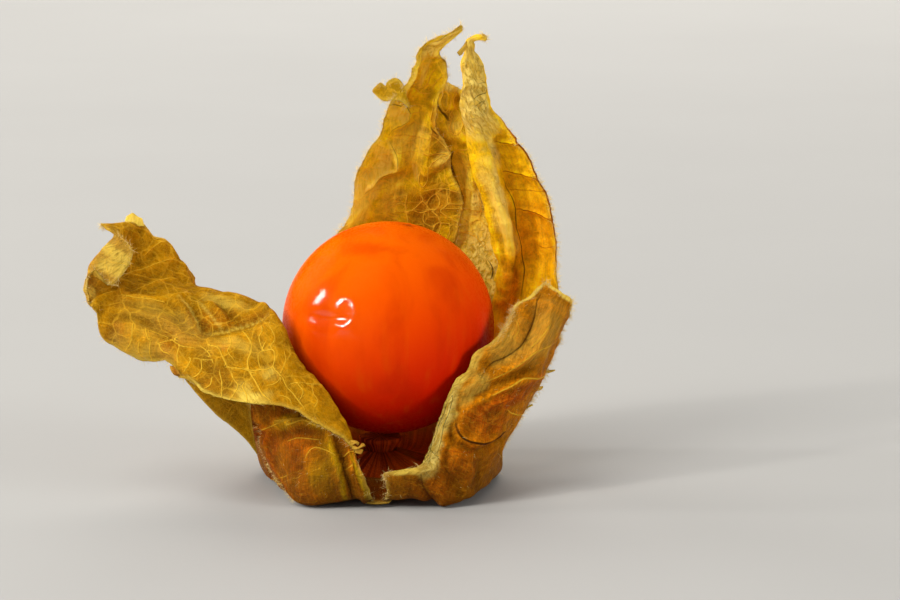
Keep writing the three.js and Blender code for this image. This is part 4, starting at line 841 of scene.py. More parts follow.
def finish_sheet(s, leaf):
    """Adds the torn edges, crumples, folds and veins, and returns both faces and the painted values."""
    n, u, v = s["n"], s["u"], s["v"]
    across, up = running_length(s["p"], 1), running_length(s["p"], 0)
    s["across"], s["up"] = across - across[:, [len(u) // 2]], up
    from_left, from_right, from_tip = across.copy(), across[:, -1:] - across, up[-1:] - up
    edges = []
    for key, side, distance, joined, sign in (("left", 0, from_left, "joined_before", 1),
                                              ("right", -1, from_right, "joined_after", -1)):
        joined = s.get(joined, 0)
        distance[:joined] = 99
        edges.append((key, side, distance, smooth(np.arange(len(v)) - joined, 0, 6)[:, None], sign))
    margin = np.minimum(np.minimum(from_left, from_right), from_tip)
    p = s["p"] = torn(s["p"], v, across, leaf, edges)

    grid = np.ones_like(across)
    bare = leaf.get("bare", 1.5)
    free, netted = smooth(v, 1.5, 4)[:, None] * grid, smooth(v, bare, bare + 2)[:, None] * grid
    tip = smooth(from_tip, 0, 3)
    painted, fold, relief = paint(s, leaf, across.shape)

    # Crumples: facets of two sizes, softer waves, and a little more of them along the margin.
    facets = net_distance(warped(p, 0.5, 3, 61), LARGE_FACETS, 64)
    small = net_distance(warped(p, 0.25, 1.5, 65), SMALL_FACETS, 68)
    crumple = 0.13 * cloud(p, 4.2, 11) + 0.24 * (facets - 0.35) + 0.16 * (small - 0.2) + 0.05 * noise(p, 0.9, 13)
    crumple += 0.16 * bell(margin, 1.2) * cloud(p, 1.8, 14)
    crumple += (painted["silver"] * 0.26 * (0.4 - np.abs(noise(p, 0.85, 15)))
                + painted["pale"] * 0.03 * noise(p, 0.4, 16))
    bent = warped(p, 0.3, 1.3, 21)
    wide, fine = net_distance(bent, WIDE_NET, 40), net_distance(bent, FINE_NET, 50)
    crumple += 0.05 * smooth(wide, 0.0, 0.5)
    crumple = crumple * ((0.30 + 0.70 * free) * leaf.get("crumple", 1.0)) + fold
    from_berry = length(p - BERRY_CENTRE) - BERRY_RADIUS
    crumple = np.minimum(crumple, np.maximum(from_berry - BERRY_GAP, 0))

    # Net of veins: wide cells with finer ones inside, fading into the floor and the tip.
    strength = (0.50 + 0.50 * smooth(cloud(p, 4, 24), -0.4, 0.4)) * (0.1 + 0.9 * netted) * (0.7 + 0.3 * tip)
    strength = strength * leaf["net"]
    net = strength * np.maximum(bell(wide, 0.11), 0.6 * bell(fine, 0.08))

    # Painted light and shade on the crumples: ridges of the sheet are painted lighter and hollows darker.
    painted["rise"] = np.clip((crumple - blurred(crumple, 4)) / 0.05, -1, 1)
    painted["net"] = strength
    painted["warm"] = np.maximum(painted["warm"], leaf.get("warmth", 0.0))
    # A yellower, lighter ground: partly the paper's own colour, partly painted light for light shining through thin
    # paper.
    painted["sun"] += leaf.get("sun", 0.0)
    # Painted light: above its base each lobe's paper is made lighter by its own factor, most on the back lobes, for
    # the light they catch.
    painted["tone"] = 1 + (leaf.get("tone", 1.0) - 1) * netted
    painted["margin"] = bell(margin, 0.28)
    # Painted shade and reflection: the inside of each lobe's foot is painted dark red streaked with orange, for the
    # shade under the berry and the berry's colour reflected there.
    painted["cup"] = leaf.get("cup", 0.0) * smooth(3.7 - v, 0, 1.4)[:, None] * grid

    half = SHEET / 2 * (1 - 0.4 * painted["margin"])
    raised, sunk = np.maximum(relief, 0), np.minimum(relief, 0)
    inner = p + n * (crumple + half + 0.025 * net * tip + raised + 0.4 * sunk)[..., None]
    outer = p + n * (crumple - half - 0.03 * net * tip + sunk + 0.4 * raised)[..., None]
    return inner, outer, painted


# ---- meshes ----
def new_piece(name, points, faces, values):
    """A smooth mesh from points in mm, arrays of quads and triangles, and a value or vector for each point."""
    mesh = bpy.data.meshes.new(name)
    mesh.vertices.add(len(points))
    mesh.vertices.foreach_set("co", (points * MM).ravel())
    corners = np.concatenate([np.full(len(part), part.shape[1]) for part in faces])
    mesh.loops.add(int(corners.sum()))
    mesh.loops.foreach_set("vertex_index", np.concatenate([part.ravel() for part in faces]))
    mesh.polygons.add(len(corners))
    mesh.polygons.foreach_set("loop_start", np.cumsum(corners) - corners)
    mesh.update(calc_edges=True)
    mesh.validate()
    mesh.shade_smooth()
    for key, value in values.items():
        kind, field = ("FLOAT", "value") if value.ndim == 1 else ("FLOAT_VECTOR", "vector")
        layer = mesh.attributes.new(key, kind, "POINT")
        layer.data.foreach_set(field, value.astype(np.float32).ravel())
    piece = bpy.data.objects.new(name, mesh)
    bpy.context.collection.objects.link(piece)
    return piece


def grid_mesh(name, inner, outer, s, painted):
    """One closed thin shell from two grids of points, with its painted values."""
    rows, cols = inner.shape[:2]
    count = rows * cols
    index = np.arange(count).reshape(rows, cols)
    front = np.stack([index[:-1, :-1], index[:-1, 1:], index[1:, 1:], index[1:, :-1]], axis=-1).reshape(-1, 4)
    loop = np.concatenate([index[0, :-1], index[:-1, -1], index[-1, :0:-1], index[:0:-1, 0]])
    onward = np.roll(loop, -1)
    rim = np.stack([onward, loop, loop + count, onward + count], axis=-1)
    values = {key: np.tile(value.ravel(), 2) for key, value in painted.items()}
    values["outside"] = np.repeat([0.0, 1.0], count)
    along = np.stack([s["across"], s["up"], np.zeros_like(s["up"])], axis=-1).reshape(-1, 3)
    values["along"] = np.concatenate([along, along])
    points = np.concatenate([inner.reshape(-1, 3), outer.reshape(-1, 3)])
    return new_piece(name, points, [front, front[:, ::-1] + count, rim], values)


# ---- materials ----
class Graph:
    """Short way to write a node material. Lengths in its textures are in millimetres."""

    def __init__(self, name):
        self.material = bpy.data.materials.new(name)
        self.material.use_nodes = True
        self.tree = self.material.node_tree
        self.tree.nodes.clear()
        self.mm = self.scaled(self.node("TexCoord").outputs["Object"], (1000.0,) * 3)

    def put(self, target, value):
        if isinstance(value, bpy.types.NodeSocket):
            self.tree.links.new(value, target)
        elif value is not None:
            target.default_value = value

    def node(self, kind, inputs=None, **settings):
        node = self.tree.nodes.new("ShaderNode" + kind)
        for key, value in settings.items():
            setattr(node, key, value)
        for key, value in (inputs or {}).items():
            self.put(node.inputs[key], value)
        return node

    def value(self, name, output="Fac"):
        return self.node("Attribute", attribute_name=name).outputs[output]

    def math(self, how, a, b=0.0, c=None, clamp=False):
        inputs = {0: a, 1: b} if c is None else {0: a, 1: b, 2: c}
        return self.node("Math", inputs, operation=how, use_clamp=clamp).outputs[0]

    def times(self, first, *others, clamp=False):
        for other in others:
            first = self.math("MULTIPLY", first, other, clamp=clamp)
        return first

    def linear(self, value, slope, start, clamp=False):
        return self.math("MULTIPLY_ADD", value, slope, start, clamp)

    def off_middle(self, value):
        return self.math("ABSOLUTE", self.math("SUBTRACT", value, 0.5))

    def ramp(self, value, low, high, out_low=0.0, out_high=1.0):
        return self.node("MapRange", {0: value, 1: low, 2: high, 3: out_low, 4: out_high},
                         interpolation_type="SMOOTHSTEP").outputs[0]

    def mix(self, amount, a, b, how="MIX", clamp=False):
        node = self.node("Mix", data_type="RGBA", blend_type=how, clamp_result=clamp)
        for socket, value in ((node.inputs[0], amount), (node.inputs[6], a), (node.inputs[7], b)):
            if isinstance(value, tuple) and len(value) == 3:
                value = (*value, 1.0)
            self.put(socket, value)
        return node.outputs[2]

    def layers(self, colour, *tints):
        """A colour with others laid over it, each as (amount, colour)."""
        for amount, tint in tints:
            colour = self.mix(amount, colour, tint)
        return colour

    def noise(self, coords, scale, detail=4.0, roughness=0.55, distortion=0.0, output="Fac"):
        return self.node("TexNoise", {"Vector": coords, "Scale": scale, "Detail": detail, "Roughness": roughness,
                                      "Distortion": distortion}).outputs[output]

    def walls(self, coords, scale, near, far, strength):
        """Walls of a cell net, as strong as said up to near and gone at far."""
        net = self.node("TexVoronoi", {"Vector": coords, "Scale": scale}, feature="DISTANCE_TO_EDGE")
        return self.ramp(net.outputs["Distance"], near, far, strength, 0.0)

    def drawn(self, name):
        """A fine line where its distance in half widths passes nought, tapering towards its ends."""
        across = self.math("ABSOLUTE", self.value(name + "_side"))
        return self.times(self.ramp(across, 0.25, 0.75, 1.0, 0.0), self.ramp(self.value(name), 0.12, 0.88))

    def scaled(self, coords, factor):
        return self.node("VectorMath", {0: coords, 1: factor}, operation="MULTIPLY").outputs[0]

    def height(self):
        return self.node("SeparateXYZ", {0: self.mm}).outputs["Z"]

    def ribs(self):
        """Streaks that run out from the stem."""
        way = self.node("VectorMath", {0: self.scaled(self.mm, (1.0, 1.0, 0.0))}, operation="NORMALIZE")
        return self.ramp(self.noise(way.outputs[0], 7.0, 5.0, 0.65), 0.38, 0.62)

    def bumps(self, *heights):
        """A normal bent by one bump after another, each as (height, distance in mm, strength)."""
        normal = None
        for height, distance, strength in heights:
            normal = self.node("Bump", {"Strength": strength, "Distance": distance * MM, "Height": height,
                                        "Normal": normal}).outputs[0]
        return normal

    def skin(self, inputs):
        return self.node("BsdfPrincipled", inputs).outputs[0]

    def finish(self, shader):
        self.node("OutputMaterial", {"Surface": shader})
        return self.material


GOLD = (0.470, 0.205, 0.001)
YELLOW = (0.700, 0.480, 0.002)
OUTER = (0.520, 0.140, 0.001)
ORANGE = (0.480, 0.080, 0.001)
BROWN = (0.210, 0.064, 0.001)
STRAW = (0.960, 0.710, 0.105)
VEIN = (0.940, 0.565, 0.035)
# Painted shade: colour of the dark lines where shade falls in creases, slits and under folded edges.
INK = (0.035, 0.009, 0.001)
RED = (0.330, 0.040, 0.001)
# Pale silvery paper colour, which on the flakes also serves as painted glints.
SILVER = (0.990, 0.800, 0.210)
UNDER_SILVER = (0.46, 0.25, 0.01)
# Painted shade between the silvery flakes.
SILVER_GAP = (0.36, 0.17, 0.01)
GLOW = (0.80, 0.42, 0.005)
# Painted shade in the cup under the berry, and the orange of the berry reflected into it.
CUP = (0.200, 0.008, 0.001)
CUP_STREAK = (0.620, 0.085, 0.002)


def husk_material():
    g = Graph("husk_paper")
    mm, along = g.mm, g.value("along", "Vector")
    outside, pale, silver, brown, net = (g.value(key) for key in ("outside", "pale", "silver", "brown", "net"))
    inside = g.math("SUBTRACT", 1.0, outside)

    # Patterns: blotches, fibres along the lobe, cell nets, wrinkles and creases.
    blotch = g.noise(mm, 0.30, 4.0, 0.6)
    mottle = g.noise(mm, 1.7, 7.0, 0.65)
    fibre = g.noise(g.scaled(along, (5.0, 0.7, 1.0)), 1.0, 6.0, 0.65)
    fine_net = g.walls(mm, 2.6, 0.0, 0.11, 1.0)
    bent = g.mix(0.35, mm, g.noise(mm, 0.9, 2.0, 0.5, output="Color"), "ADD")
    cell_net = g.math("MAXIMUM", g.walls(bent, 0.48, 0.012, 0.045, 1.0), g.walls(bent, 1.15, 0.010, 0.055, 0.45))
    # On silvery places: flakes that are painted glints, and narrow gaps painted with shade.
    flakes = g.ramp(g.noise(g.scaled(along, (1.0, 0.65, 1.0)), 2.3, 4.0, 0.55, 1.0), 0.40, 0.54)
    flake_gaps = g.ramp(g.noise(g.scaled(along, (7.0, 1.3, 1.0)), 1.0, 4.0, 0.6, 0.8), 0.37, 0.44, 0.50, 0.0)
    wrinkle = g.noise(g.scaled(along, (0.9, 2.6, 1.0)), 1.0, 5.0, 0.6, 1.2)
    crease = g.ramp(g.off_middle(g.noise(mm, 0.55, 3.0, 0.5, 0.6)), 0.0, 0.016, 1.0, 0.0)
    # Thin bright lines along the lobe on the outside, painted highlights of its wrinkles.
    ridges = g.off_middle(g.noise(g.scaled(along, (0.7, 2.4, 1.0)), 1.0, 2.0, 0.5, 0.3))
    grain = g.noise(mm, 4.2, 3.0, 0.65)

    # Ground colours, then lighter and darker patterns over them, among them painted light and shade.
    # Yellow ground, partly painted light; half as strong on the outside.
    sun = g.times(g.value("sun"), g.linear(outside, -0.5, 1.0), clamp=True)
    warm = g.math("ADD", g.value("warm"), g.ramp(blotch, 0.50, 0.75, 0.0, 0.18), clamp=True)
    colour = g.layers(g.mix(outside, GOLD, OUTER), (sun, YELLOW), (g.times(warm, 0.85), ORANGE),
                      (g.times(brown, g.ramp(mottle, 0.2, 0.6, 0.75, 1.0)), BROWN))
    rise = g.times(g.value("rise"), g.linear(outside, -2.0, 1.0))
    pleats = g.mix(outside, g.ramp(fibre, 0.3, 0.7, 0.82, 1.12), g.ramp(fibre, 0.32, 0.68, 0.70, 1.24))
    wrinkled = g.mix(outside, (1.0,) * 3, g.mix(g.ramp(wrinkle, 0.34, 0.66), (0.84,) * 3, (1.14,) * 3))
    within = g.times(net, g.math("SUBTRACT", 1.0, cell_net))
    shade = g.times(g.ramp(mottle, 0.28, 0.72, 0.85, 1.10), pleats, g.ramp(grain, 0.30, 0.70, 0.86, 1.12),
                    # Painted shade: crumple hollows darker and ridges lighter, and the paper darker towards the
                    # floor.
                    g.linear(rise, 0.22, 1.0), g.ramp(g.height(), 0.0, 6.5, 0.45, 1.0),
                    # The lobe factor here is painted light.
                    g.ramp(g.value("vein"), 0.0, 0.75, 0.90, 1.10), wrinkled, g.value("tone"),
                    g.linear(within, -0.26, 1.0))
    grey = g.node("CombineColor", {0: shade, 1: shade, 2: shade}).outputs[0]
    colour = g.mix(1.0, colour, grey, "MULTIPLY", clamp=True)

    # Fine nets, pale and silvery places with painted glints, painted highlight lines, veins, the margin, dark lines
    # of painted shade and the cup, painted shade with a painted reflection of the berry.
    line = g.math("MAXIMUM", g.drawn("vein"), g.times(cell_net, g.times(net, 0.62)))
    colour = g.layers(
        colour,
        (g.times(fine_net, g.linear(outside, -0.14, 0.18)), VEIN),
        (g.times(crease, g.linear(outside, -0.12, 0.14)), VEIN),
        # Painted highlights along the outside wrinkles.
        (g.times(g.ramp(ridges, 0.0, 0.018, 0.16, 0.0), outside), VEIN),
        (g.times(g.times(pale, g.ramp(fibre, 0.32, 0.58, 0.40, 1.0), clamp=True), 0.94), STRAW),
        # Silvery places: pale silvery paper on a darker ground, with painted glints on the flakes and painted shade
        # in the gaps.
        (g.times(silver, 0.34), UNDER_SILVER),
        (g.times(silver, g.linear(flakes, 0.74, 0.25)), SILVER),
        (g.times(silver, flake_gaps, clamp=True), SILVER_GAP),
        (g.times(line, g.ramp(mottle, 0.30, 0.55, 0.55, 0.90)), VEIN),
        (g.times(g.drawn("rib"), outside, 0.75), VEIN),
        (g.times(g.value("margin"), 0.35), STRAW),
        (g.times(g.drawn("red"), 0.85), RED),
        # Dark lines of painted shade in creases, slits and under edges.
        (g.times(g.drawn("ink"), 0.94), INK),
        # The cup: painted shade with a painted reflection of the berry in its streaks.
        (g.times(g.value("cup"), inside), g.mix(g.ribs(), CUP, CUP_STREAK)))
    bump = g.bumps((g.times(fibre, g.linear(outside, 1.1, 1.0)), 0.10, 0.9), (g.times(wrinkle, outside), 0.20, 1.0),
                   (mottle, 0.14, 1.0), (grain, 0.035, 1.0), (fine_net, 0.03, 0.8), (crease, 0.02, 0.7),
                   (line, 0.06, 1.0), (g.times(silver, flakes), 0.16, 1.0))
    rough = g.linear(silver, -0.18, g.ramp(mottle, 0.3, 0.7, 0.42, 0.60))
    paper = g.skin({"Base Color": colour, "Roughness": rough, "Normal": bump, "Specular IOR Level": 0.08})
    lit = g.mix(g.linear(silver, -0.25, 0.30, clamp=True), colour, GLOW)
    glow = g.node("BsdfTranslucent", {"Color": lit, "Normal": bump}).outputs[0]
    return g.finish(g.node("MixShader", {0: g.linear(silver, 0.22, 0.30), 1: paper, 2: glow}).outputs[0])


def berry_material():
    g = Graph("berry_skin")
    mm, polish = g.mm, g.value("polish")
    riper = g.node("VectorMath", {0: mm, 1: (-0.45, 0.10, 0.88)}, operation="DOT_PRODUCT").outputs["Value"]
    blotch = g.noise(g.scaled(mm, (1.0, 1.0, 0.32)), 0.30, 3.0, 0.5, 0.5)
    streak = g.noise(g.scaled(mm, (1.0, 1.0, 0.12)), 1.1, 4.0)
    fleck, pores, wrinkles = g.noise(mm, 7.0, 3.0, 0.6), g.noise(mm, 3.4, 5.0, 0.65), g.noise(mm, 1.1, 2.0, 0.5)
    # Orange towards the top and left, deep red towards the bottom and right: partly the berry's own colour, partly
    # painted light and shade.
    colour = g.mix(g.ramp(riper, 4.0, 21.0), (0.600, 0.009, 0.0002), (0.650, 0.096, 0.0002))
    colour = g.layers(colour, (g.ramp(blotch, 0.42, 0.72, 0.0, 0.45), (0.360, 0.010, 0.0002)),
                      (g.ramp(streak, 0.50, 0.75, 0.0, 0.30), (0.600, 0.070, 0.0002)),
                      (g.ramp(fleck, 0.66, 0.82, 0.0, 0.16), (0.92, 0.26, 0.004)),
                      (g.value("scar"), (0.13, 0.020, 0.003)))
    return g.finish(g.skin({
        "Base Color": colour, "Roughness": g.ramp(pores, 0.3, 0.7, 0.22, 0.34),
        "Normal": g.bumps((pores, 0.030, 0.35), (wrinkles, 0.05, 0.35)),
        "Subsurface Weight": 0.12, "Subsurface Radius": (1.0, 0.22, 0.04), "Subsurface Scale": 0.0012,
        "Specular IOR Level": 0.015, "Coat Weight": g.linear(polish, 0.85, 0.01), "Coat Roughness": 0.05,
        "Coat Normal": g.bumps((g.times(g.noise(mm, 4.6, 2.0, 0.6), polish), 0.016, 1.0))}))


def stem_material():
    g = Graph("stem_bark")
    fibre = g.noise(g.scaled(g.mm, (1.0, 1.0, 0.12)), 2.6, 6.0, 0.6)
    bark = g.mix(g.ramp(fibre, 0.3, 0.7), (0.12, 0.085, 0.015), (0.34, 0.22, 0.04))
    # Painted shade and reflection: above the bark the stem is painted the same streaked dark red and orange as the
    # shaded cup.
    red = g.mix(g.ribs(), (0.22, 0.010, 0.001), (0.66, 0.095, 0.003))
    return g.finish(g.skin({"Base Color": g.mix(g.ramp(g.height(), 0.6, 2.2), bark, red), "Roughness": 0.75,
                            "Specular IOR Level": 0.1, "Normal": g.bumps((fibre, 0.20, 1.0))}))


def two_tone_material(name, scale, roughness, dark, light):
    """A plain material that wanders between two near colours."""
    g = Graph(name)
    colour = g.mix(g.noise(g.mm, scale, 3.0), dark, light)
    return g.finish(g.skin({"Base Color": colour, "Roughness": roughness, "Specular IOR Level": 0.3}))


# ---- the husk ----
paper = husk_material()
dressed = []  # the faces, values and normals of the sheets that carry hairs


def husk_piece(name, s, leaf):
    inner_face, outer_face, values = finish_sheet(s, leaf)
    if leaf.get("hairy", False):
        dressed.append((outer_face, values, s["n"]))
    piece = grid_mesh(f"husk_{name}", inner_face, outer_face, s, values)
    piece.data.materials.append(paper)
    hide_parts("husk")
    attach(piece, "root")


for leaf_name, sheet in base_sheets().items():
    husk_piece(leaf_name, sheet, dict(LEAVES[leaf_name], cup=1.0, hairy=True))

# Torn scraps of the same paper that stand off the lobes, from rows of points like the lobes'.
SCRAPS = {
    "tab": dict(net=0.8, sun=0.4, hairy=True, rows="""-.6 7.3 32.8, -.6 7.3 32.6, -.5 7.3 32.5;
        -.2 7.2 33.2, -.2 7.3 32.7, -.1 7.2 32.1; .1 7.1 33.4, .1 7.3 32.7, .2 7.1 31.9; .5 7.1 33.1,
        .5 7.2 32.6, .6 7 31.8; .6 7 33.4, .7 7.1 32.7, .8 6.9 31.9; 1 6.9 33.7, 1 7 32.8, 1.2 6.8 31.9;
        1.4 6.8 33.8, 1.4 6.9 32.8, 1.5 6.6 31.9; 1.8 6.7 33.6, 1.8 6.7 32.7, 1.8 6.5 31.9; 2.2 6.6 32.9,
        2.2 6.6 32.2, 2.2 6.5 31.6; 2.4 6.7 32.1, 2.5 6.7 31.6, 2.6 6.7 31.2"""),
    "tip_curl": dict(net=0.4, pale=1, sun=0.8, hairy=True, rows="""-21.6 2 22, -21.2 2.3 21.9,
        -20.7 2.6 21.8, -20 3 21.7; -21.6 2.5 22.2, -21.1 2.8 22.3, -20.6 3 22.2, -20.1 3.2 22;
        -21.5 3 22.5, -21 3.2 22.8, -20.6 3.3 22.5, -20.2 3.4 22.3"""),
    "torn_a": dict(net=0.3, warm=0.6, rows="""-2.4 -9.9 6, -2.3 -10 5.6; -2 -10 6, -2 -10.2 5.8;
        -1.7 -9.9 5.8, -1.8 -10.1 5.6"""),
    "torn_b": dict(net=0.3, warm=0.7, rows="""-2.2 -10 5.6, -2.3 -9.9 5.3; -1.8 -10.1 5.5, -1.9 -10.2 5.3;
        -1.5 -9.7 5.7, -1.4 -10 5.5; -1.3 -9.5 5.6, -1.2 -9.7 5.5"""),
    "torn_c": dict(net=0.3, warm=0.8, rows="""-2 -10 5.2, -2.1 -9.9 5; -1.6 -10 5.3, -1.7 -10.1 4.9;
        -1.4 -9.8 5.2, -1.5 -9.9 4.9"""),
    "cup_front": dict(net=0.3, warm=1, rows="""-2.5 -5.2 2, -1.2 -5.2 1.7, .3 -5.2 1.6, 1.7 -5.2 1.8;
        -2.4 -7 1.4, -1.1 -7.2 1.2, .2 -7.2 1.2, 1.5 -7 1.3; -1.9 -8.3 .8, -1 -8.5 .7, .1 -8.5 .7,
        1.1 -8.3 .7; -1.5 -8.8 .5, -.9 -9 .4, 0 -9 .4, .7 -8.8 .4"""),
    "hem": dict(net=0.4, warm=0.1, sun=0.2, rows="""-16.3 -5.8 10.7, -16.2 -5.7 10.4, -16.1 -5.6 10.1;
        -15.5 -5.9 10.3, -15.4 -5.8 9.7, -15.3 -5.7 9.1; -14.5 -5.9 9.7, -14.5 -5.7 8.9, -14.3 -5.5 7.9;
        -13.6 -5.8 9.4, -13.5 -5.5 8.1, -13.3 -5.2 6.8; -12.6 -5.5 9, -12.4 -5.1 7.4, -12.2 -4.7 5.8;
        -11.7 -5.1 8.6, -11.5 -4.7 6.7, -11.2 -4.3 4.7; -10.9 -4.8 8.4, -10.7 -4.4 6, -10.3 -4 3.3"""),
    "blade_curl": dict(net=0.3, pale=0.5, warm=0.3, sun=0.4, rows="""7.4 5.3 37.2, 7.6 5.4 36.7;
        7.1 5 36.8, 7.3 5.1 36.5; 6.8 4.8 36.5, 7 4.9 36.1; 6.6 4.6 36.3, 6.8 4.7 36"""),
    "spike_a": dict(net=0.3, warm=0.15, sun=0.3, rows="""13.8 -1.9 10.5, 13.4 -1.8 9.6; 14.3 -1.2 10,
        13.8 -1.1 9.6; 14.5 -1.1 10, 14.5 -1.1 9.8; 14.8 -1 10, 14.8 -1 9.9"""),
    "spike_b": dict(net=0.3, warm=0.15, sun=0.2, rows="""12.9 -1.9 8.8, 12.6 -1.8 8.1; 13.4 -1.2 8.5,
        13 -1.1 8.1; 13.6 -.8 8.5, 13.6 -.8 8.2; 13.8 -.7 8.5, 13.8 -.7 8.4"""),
    "spike_c": dict(net=0.3, warm=0.15, sun=0.8, rows="""12 -2.5 7.3, 11.6 -3.1 6.8; 12.5 -1.8 7,
        12 -2.4 6.8; 12.7 -2.1 7.2, 12.6 -2.1 7; 12.9 -2 7.2, 12.9 -2 7.1"""),
    "rim_curl": dict(net=0.4, warm=0.5, sun=0.2, rows="""-17.5 -5.2 11.3, -17 -5.4 11.3; -17.4 -5.7 11.1,
        -16.7 -5.9 11; -17.1 -5.7 10.7, -16.4 -5.9 10.6; -16.7 -5.3 10.5, -16.1 -5.5 10.3"""),
}
SCRAP_CELL = 0.12
TINT_WIDTH = 6.0  # covers a whole scrap


def scrap_sheet(rows):
    points = np.asarray(rows, float)
    v, u = (np.linspace(0, points.shape[k] - 1,
                        max(2, int(np.ceil(length(np.diff(points, axis=k)).sum(axis=k).max() / SCRAP_CELL))) + 1)
            for k in (0, 1))
    p = spline_sheet(points, v, u)
    return dict(u=u, v=v, p=p, n=normals(p))


for scrap_name, scrap in SCRAPS.items():
    scrap_rows = table(scrap["rows"])
    middle = (len(scrap_rows[0]) - 1) / 2
    whole = [(0, middle), (len(scrap_rows) - 1, middle)]
    tints = [(key, (TINT_WIDTH, scrap.get(key, 0.0)), whole) for key in ("pale", "warm")]
    husk_piece(scrap_name, scrap_sheet(scrap_rows), dict(scrap, marks=tints, crumple=0.5))


# ---- whitish hairs on the outside and along the edges ----
def add_hairs(name, count, seed):
    """Thin three-sided spikes, with more of them where the weights are high."""
    rng = np.random.default_rng(seed)
    roots, ways, sizes, weights = [], [], [], []
    for face, values, n in dressed:
        patch = length(np.cross(*[np.gradient(face, axis=k) for k in (0, 1)]))
        bare = np.clip(values["silver"] + values["bald"] + smooth(values["pale"], 0.6, 1.0), 0, 1)
        weights.append(((0.004 + 2.6 * values["margin"] + 1.8 * values["hair"]) * (1 - 0.92 * bare) * patch).ravel())
    total = sum(w.sum() for w in weights)
    for (face, values, n), w in zip(dressed, weights):
        share = int(count * w.sum() / total)
        pick = rng.choice(len(w), share, p=w / w.sum())
        rim = values["margin"].ravel()[pick]
        way = -n.reshape(-1, 3)[pick] * (1 - 0.5 * rim)[:, None] + rng.normal(0, 0.6, (share, 3))
        roots.append(face.reshape(-1, 3)[pick])
        ways.append(unit(way))
        sizes.append(rng.uniform(0.20, 0.50, share) * (1 + 0.5 * rim))
    root, way, size = np.concatenate(roots), np.concatenate(ways), np.concatenate(sizes)
    clear = (root[:, 2] > 0.3) & (length(root - BERRY_CENTRE) > BERRY_RADIUS + 1.7)
    root, way, size = root[clear], way[clear], size[clear]
    way[:, 2] = np.where((root[:, 2] + way[:, 2] * size * 1.3) < 0.05, np.abs(way[:, 2]), way[:, 2])
    side = unit(np.cross(way, rng.normal(0, 1, way.shape)))
    other = np.cross(way, side)
    bend = side * (size * rng.uniform(-0.35, 0.35, len(size)))[:, None]
    points = []
    for place, thick, curve in ((-0.06, 0.013, 0.0), (0.55, 0.009, 0.3)):
        middle = root + way * (size * place)[:, None] + bend * curve
        for k in range(3):
            turn = 2 * math.pi * k / 3
            points.append(middle + thick * (side * math.cos(turn) + other * math.sin(turn)))
    points.append(root + way * size[:, None] + bend)
    points = np.stack(points, axis=1)
    base = np.arange(len(root))[:, None] * points.shape[1]
    quads = np.concatenate([base + np.array([k, (k + 1) % 3, 3 + (k + 1) % 3, 3 + k]) for k in range(3)])
    caps = np.concatenate([base + np.array([3 + k, 3 + (k + 1) % 3, 6]) for k in range(3)])
    return new_piece(name, points.reshape(-1, 3), [quads, caps], {})


hairs = add_hairs("husk_hairs", HAIR_COUNT, HAIR_SEED)
hairs.data.materials.append(two_tone_material("hair", 1.5, 0.5, (0.66, 0.44, 0.10), (0.84, 0.66, 0.28)))
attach(hairs, "root")


# ---- the berry ----
def berry_piece():
    """The ball with its pucker, the groove and raised ring on it, and its top scar."""
    rings, sides = 120, 240
    polar = np.linspace(0, math.pi, rings + 1)[1:-1]
    turn = np.linspace(0, 2 * math.pi, sides, endpoint=False)
    way = np.stack([np.sin(polar)[:, None] * np.cos(turn), np.sin(polar)[:, None] * np.sin(turn),
                    np.repeat(np.cos(polar)[:, None], sides, axis=1)], axis=-1).reshape(-1, 3)
    way = np.concatenate([[[0, 0, 1.0]], way, [[0, 0, -1.0]]])
    scar, pucker = unit(np.array([0.19, -0.02, 0.98])), unit(np.array([-0.503, -0.828, 0.249]))
    side = unit(np.cross([0, 0, 1.0], pucker))
    a, b = way @ side * BERRY_RADIUS, way @ np.cross(pucker, side) * BERRY_RADIUS
    to_scar, to_pucker = length(way - scar) * BERRY_RADIUS, length(way - pucker) * BERRY_RADIUS
    dent = 0.17 * np.exp(-((a + 0.9) / 1.9) ** 2 - (b / 0.65) ** 2)
    dent += 0.07 * np.exp(-((a + 1.0) / 2.0) ** 2 - ((b - 0.05) / 0.16) ** 2)
    dimple = np.hypot(a - 0.85, (b - 0.6) / 1.25)
    ring = bell(dimple - 1.0, 0.30) * (0.25 + 0.75 * smooth(a - 0.85, -0.9, 0.1))
    dent += 0.07 * bell(dimple, 0.55) - 0.075 * ring
    dent += 0.016 * noise(way * 9, 0.32, 6) * bell(dimple, 1.6)
    radius = BERRY_RADIUS - dent * smooth(way @ pucker, 0.5, 0.8)
    radius += 0.025 * cloud(way * 9, 5.0, 3) + 0.005 * noise(way * 9, 1.0, 4)
    radius += 0.10 * bell(to_scar, 0.26) - 0.06 * bell(to_scar, 0.7)
    index = 1 + np.arange((rings - 1) * sides).reshape(rings - 1, sides)
    beside = np.roll(index, -1, axis=1)
    quads = np.stack([index[:-1], index[1:], beside[1:], beside[:-1]], axis=-1).reshape(-1, 4)
    top = np.stack([np.zeros(sides, int), index[0], beside[0]], axis=-1)
    low = np.stack([np.full(sides, len(way) - 1), beside[-1], index[-1]], axis=-1)
    polish = np.exp(-(to_pucker / 3.1) ** 4) * smooth(b, -1.7, -0.7)
    return new_piece("berry_skin", BERRY_CENTRE + way * radius[:, None], [quads, top, low],
                     {"scar": bell(to_scar, 0.34), "polish": polish})


berry = berry_piece()
berry.data.materials.append(berry_material())
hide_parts("berry")
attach(berry, "root")


